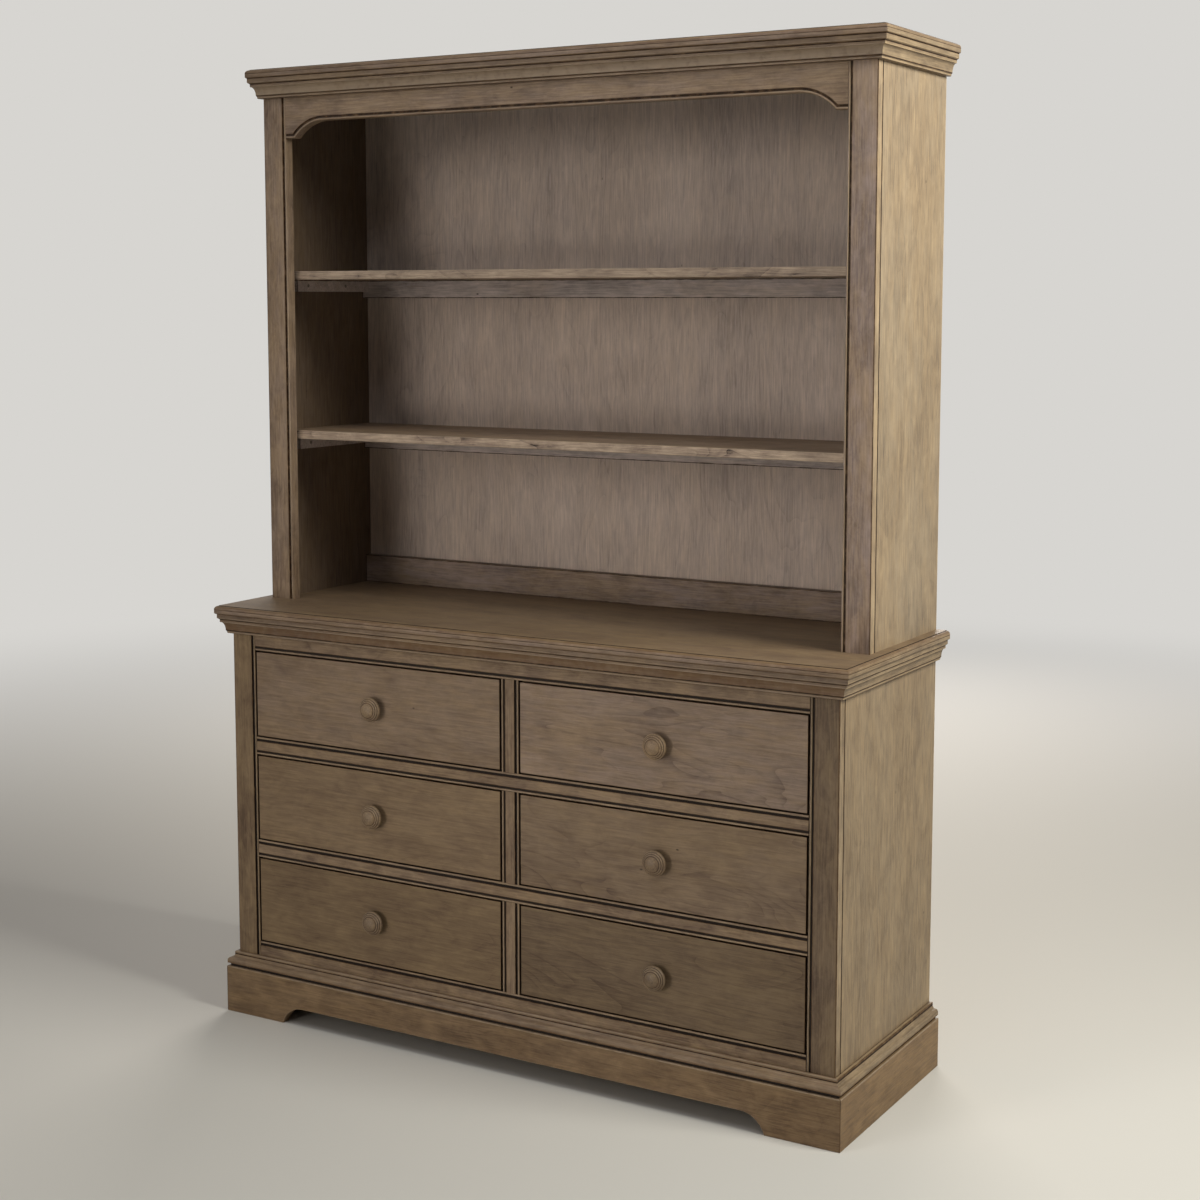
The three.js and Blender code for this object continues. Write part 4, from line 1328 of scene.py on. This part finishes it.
def seen_ray(tree):
    """One where the camera, a mirror or glass looks, and nothing where light is gathered"""
    rays = tree.add("LightPath").outputs
    seen = tree.math("MAXIMUM", rays["Is Camera Ray"], rays["Is Glossy Ray"])
    return tree.math("MAXIMUM", seen, rays["Is Transmission Ray"])


def set_sky(stage):
    """An even sky, with the backdrop's colour where it is seen"""
    world = bpy.data.worlds.new("studio")
    bpy.context.scene.world = world
    world.use_nodes = True
    tree = Tree(world.node_tree)
    inputs = world.node_tree.nodes["Background"].inputs
    seen = seen_ray(tree)
    tree.put(tree.blend(seen, (1.0, 1.0, 1.0, 1.0), (*stage.backdrop, 1.0)), inputs["Color"])
    tree.put(tree.ramp(seen, 0.0, 1.0, stage.sky, 1.0), inputs["Strength"])


def set_floor(stage):
    """A pale floor that keeps the shadow near the dresser and turns into the backdrop far off"""
    mesh = bpy.data.meshes.new("floor")
    corners = [(FLOOR_REACH * x, FLOOR_REACH * y, 0.0) for x, y in ((-1, -1), (1, -1), (1, 1), (-1, 1))]
    mesh.from_pydata(corners, [], [(0, 1, 2, 3)])
    floor = bpy.data.objects.new("floor", mesh)
    bpy.context.scene.collection.objects.link(floor)
    material, tree, shader = new_material("floor")
    shader.inputs["Base Color"].default_value = (*stage.floor, 1.0)
    shader.inputs["Roughness"].default_value = FLOOR_ROUGHNESS
    far_glow = tree.add("Emission", {"Color": (*stage.backdrop, 1.0), "Strength": 1.0})
    distance = tree.add("VectorMath", {0: tree.place()}, operation="LENGTH").outputs["Value"]
    far = tree.math("MULTIPLY", tree.ramp(distance, *SHADOW_RAMP), seen_ray(tree))
    mixed = tree.add("MixShader", {0: far, 1: shader.outputs[0], 2: far_glow.outputs[0]})
    tree.put(mixed.outputs[0], material.node_tree.nodes["Material Output"].inputs["Surface"])
    mesh.materials.append(material)


# Operators

class DRESSER_OT_stage(bpy.types.Operator):
    """Sets the floor, the camera, the lamps and the sky"""

    bl_idname = "dresser.stage"
    bl_label = "Stage"

    def execute(self, context):
        stage = context.scene.dresser_stage
        context.scene.view_settings.view_transform = "Standard"
        set_camera(stage)
        for word, lamp in LAMPS.items():
            set_lamp(f"{word}_lamp", lamp, getattr(stage, f"{word}_light"))
        set_sky(stage)
        set_floor(stage)
        return {"FINISHED"}


class DRESSER_OT_groups(bpy.types.Operator):
    """Builds the shared node groups for grain, edges, stain and bare wood"""

    bl_idname = "dresser.groups"
    bl_label = "Finishes"

    def execute(self, context):
        build_grain()
        build_edges()
        build_stain()
        build_bare()
        return {"FINISHED"}


class DRESSER_OT_metals(bpy.types.Operator):
    """Mixes the finishes of the screws and the glides"""

    bl_idname = "dresser.metals"
    bl_label = "Metals"

    def execute(self, context):
        finish = context.scene.dresser_finish
        smudged("screw_steel", 1.0, finish.metal, finish.metal_roughness)
        smudged("glide_nylon", 0.0, finish.nylon, finish.nylon_roughness)
        return {"FINISHED"}


class DRESSER_OT_case(bpy.types.Operator):
    """Builds the side panels and the beaded face frame of the dresser and the hutch"""

    bl_idname = "dresser.case"
    bl_label = "Case and Face Frame"

    def execute(self, context):
        for side, word in SIDES:
            make_side("dresser", side, word, seed=1, depth=0.02, coolness=0.35)
            # The hutch's sides are paler and cooler than the dresser's: partly painted light, the cool light
            # from above
            make_side("hutch", side, word, seed=3, depth=-0.14, coolness=0.55)
            make_stile("dresser", side, word, seed=5, glazed=1.0, quirk=1.0, edge_depth=-0.05,
                       depth=0.18 + side / 14, coolness=0.2 + side / 12)
            # The hutch's stiles are paler and cooler, the right one most: a painted bluish sheen
            make_stile("hutch", side, word, seed=7, glazed=0.0, quirk=HUTCH_QUIRK, edge_depth=-0.25,
                       depth=-0.24 - side / 12, coolness=0.8 + side / 4)
        for word, (foot, head, seed) in RAILS.items():
            make_rail(word, foot, head, seed)
        for i, row in enumerate(ROWS):
            make_mullion(row, seed=13 + i)
        return {"FINISHED"}


class DRESSER_OT_tops(bpy.types.Operator):
    """Builds the two top boards, the cornices under them and the base moulding"""

    bl_idname = "dresser.tops"
    bl_label = "Tops and Mouldings"

    def execute(self, context):
        sizes = context.scene.dresser_mouldings
        # The dresser's top is stained deeper than the crown board: in part painted shade, for the hutch's
        # shadow on it
        make_top("dresser_top", "dresser_rounded_top", seed=17, depth=0.12)
        make_top("crown_board", "crown_rounded_board", seed=18, depth=0.0)
        side_run = cornice_profile(0.0)
        for kind, name, cove_glaze, seed in CORNICES:
            make_moulding(kind, name, cornice_profile(cove_glaze), side_run, sizes.band_outset, seed)
        front_run = base_profile(fillet_glaze=0.0, head_glaze=-0.7)
        side_run = base_profile(fillet_glaze=0.5, head_glaze=0.5)
        make_moulding("base_moulding", "base_ogee", front_run, side_run, sizes.nose_outset, seed=29)
        return {"FINISHED"}


class DRESSER_OT_arches(bpy.types.Operator):
    """Builds the arched plinth and the arched valance"""

    bl_idname = "dresser.arches"
    bl_label = "Plinth and Valance"

    def execute(self, context):
        make_plinth_front()
        for side, word in SIDES:
            make_plinth_side(side, word, seed=33)
        make_valance()
        return {"FINISHED"}


class DRESSER_OT_drawers(bpy.types.Operator):
    """Builds the six drawers: face, dovetailed box, turned knob and its bolt"""

    bl_idname = "dresser.drawers"
    bl_label = "Drawers"

    def execute(self, context):
        sizes = context.scene.dresser_drawers
        for i, row in enumerate(ROWS):
            for j, column in enumerate(COLUMNS):
                word = f"{row}_{column}"
                seed = 41 + 7 * i + 3 * j
                # The drawers' depths, which the knobs share, are partly painted light: darker towards the
                # bottom, palest at the upper right
                depth, coolness = FRONT_TONE_AND_LIGHT[word]
                make_front(word, seed, FRONT_FIGURE[column], depth, coolness)
                make_knob(word, seed + 1, depth)
                make_box(word, seed + 2)
                low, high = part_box(f"{word}_knob")
                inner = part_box(f"{word}_drawer_box")[0].y + sizes.box_wall
                place = ((low.x + high.x) / 2, inner, (low.z + high.z) / 2)
                make_screw(f"{word}_knob_bolt", place, (0, 1, 0), sizes.bolt_radius, sizes.bolt_height,
                           f"{word}_drawer")
        return {"FINISHED"}


class DRESSER_OT_boards(bpy.types.Operator):
    """Finishes the plain boards: shelves, cleats, backs, dust panels and the rear rails"""

    bl_idname = "dresser.boards"
    bl_label = "Plain Boards"

    def execute(self, context):
        for i, row in enumerate(SHELVES):
            make_shelf(row, seed=61 + 3 * i, depth=0.05 + 0.17 * i)
            node = f"{row}_shelf_cleats"
            # The cleats take the paler, cooler veneer colours, painted light in place of the light that the
            # shelf above shuts out, and glazed edges, partly a painted shadow line along the back
            cover(node, stained(f"{node}_stain", "x", 67 + 3 * i, "veneer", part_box(node), edge=1.6,
                                depth=0.08, coolness=1.6))
        node = "hutch_lower_rail"
        # Glazed edges: partly a painted shadow line along the back panel
        cover(node, stained("lower_rail_stain", "x", 73, box=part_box(node), edge=1.4, banding=0.3,
                            depth=-0.15, coolness=1.0))
        node = "hutch_back_panel"
        # The veneer colours: partly painted light inside the hutch
        veneer = stained("back_veneer", "z", 76, "veneer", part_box(node), figure=0.18, leaves=0.2,
                         clouding=0.42, depth=0.06)
        leave_rear_bare(veneer, seed=79)
        cover(node, veneer)
        for i, node in enumerate(PLYWOOD_BOARDS):
            cover(node, bare("ply", f"{node}_plywood", "x", 81 + i))
        cover("rear_base_rail", bare("timber", "rear_base_rail_timber", "x", 86))
        return {"FINISHED"}


class DRESSER_OT_hardware(bpy.types.Operator):
    """Adds the screws of the cleats, the corner blocks and the glides"""

    bl_idname = "dresser.hardware"
    bl_label = "Hardware"

    def execute(self, context):
        for row in SHELVES:
            make_cleat_screws(row)
        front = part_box("dresser_side_right")[0].y
        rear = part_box("rear_base_rail")[0].y
        for side, word in SIDES:
            make_block(f"front_{word}_corner_block", side, front, -1, seed=91)
            make_block(f"rear_{word}_corner_block", side, rear, 1, seed=95)
        return {"FINISHED"}


class DRESSER_PT_panel(bpy.types.Panel):
    """Lists the steps that build the dresser"""

    bl_idname = "DRESSER_PT_panel"
    bl_label = "Dresser with Hutch"
    bl_space_type = "VIEW_3D"
    bl_region_type = "UI"
    bl_category = "Dresser"

    def draw(self, context):
        for operator in OPERATORS:
            self.layout.operator(operator.bl_idname)
        for name in SETTINGS:
            box = self.layout.box()
            settings = getattr(context.scene, name)
            for key in settings.__annotations__:
                box.prop(settings, key)


SETTINGS = {
    "dresser_frame": DresserFrame,
    "dresser_mouldings": DresserMouldings,
    "dresser_boards": DresserBoards,
    "dresser_drawers": DresserDrawers,
    "dresser_finish": DresserFinish,
    "dresser_stage": DresserStage,
}
OPERATORS = (
    DRESSER_OT_stage,
    DRESSER_OT_groups,
    DRESSER_OT_metals,
    DRESSER_OT_case,
    DRESSER_OT_tops,
    DRESSER_OT_arches,
    DRESSER_OT_drawers,
    DRESSER_OT_boards,
    DRESSER_OT_hardware,
)


def register():
    """Adds the settings, the operators and the panel"""
    for name, settings in SETTINGS.items():
        bpy.utils.register_class(settings)
        setattr(bpy.types.Scene, name, PointerProperty(type=settings))
    for kind in (*OPERATORS, DRESSER_PT_panel):
        bpy.utils.register_class(kind)


def unregister():
    """Takes them away again"""
    for kind in reversed((*OPERATORS, DRESSER_PT_panel)):
        bpy.utils.unregister_class(kind)
    for name, settings in reversed(SETTINGS.items()):
        delattr(bpy.types.Scene, name)
        bpy.utils.unregister_class(settings)


def main():
    """Builds everything in order"""
    register()
    for operator in OPERATORS:
        family, step = operator.bl_idname.split(".")
        getattr(getattr(bpy.ops, family), step)()


if __name__ == "__main__":
    main()
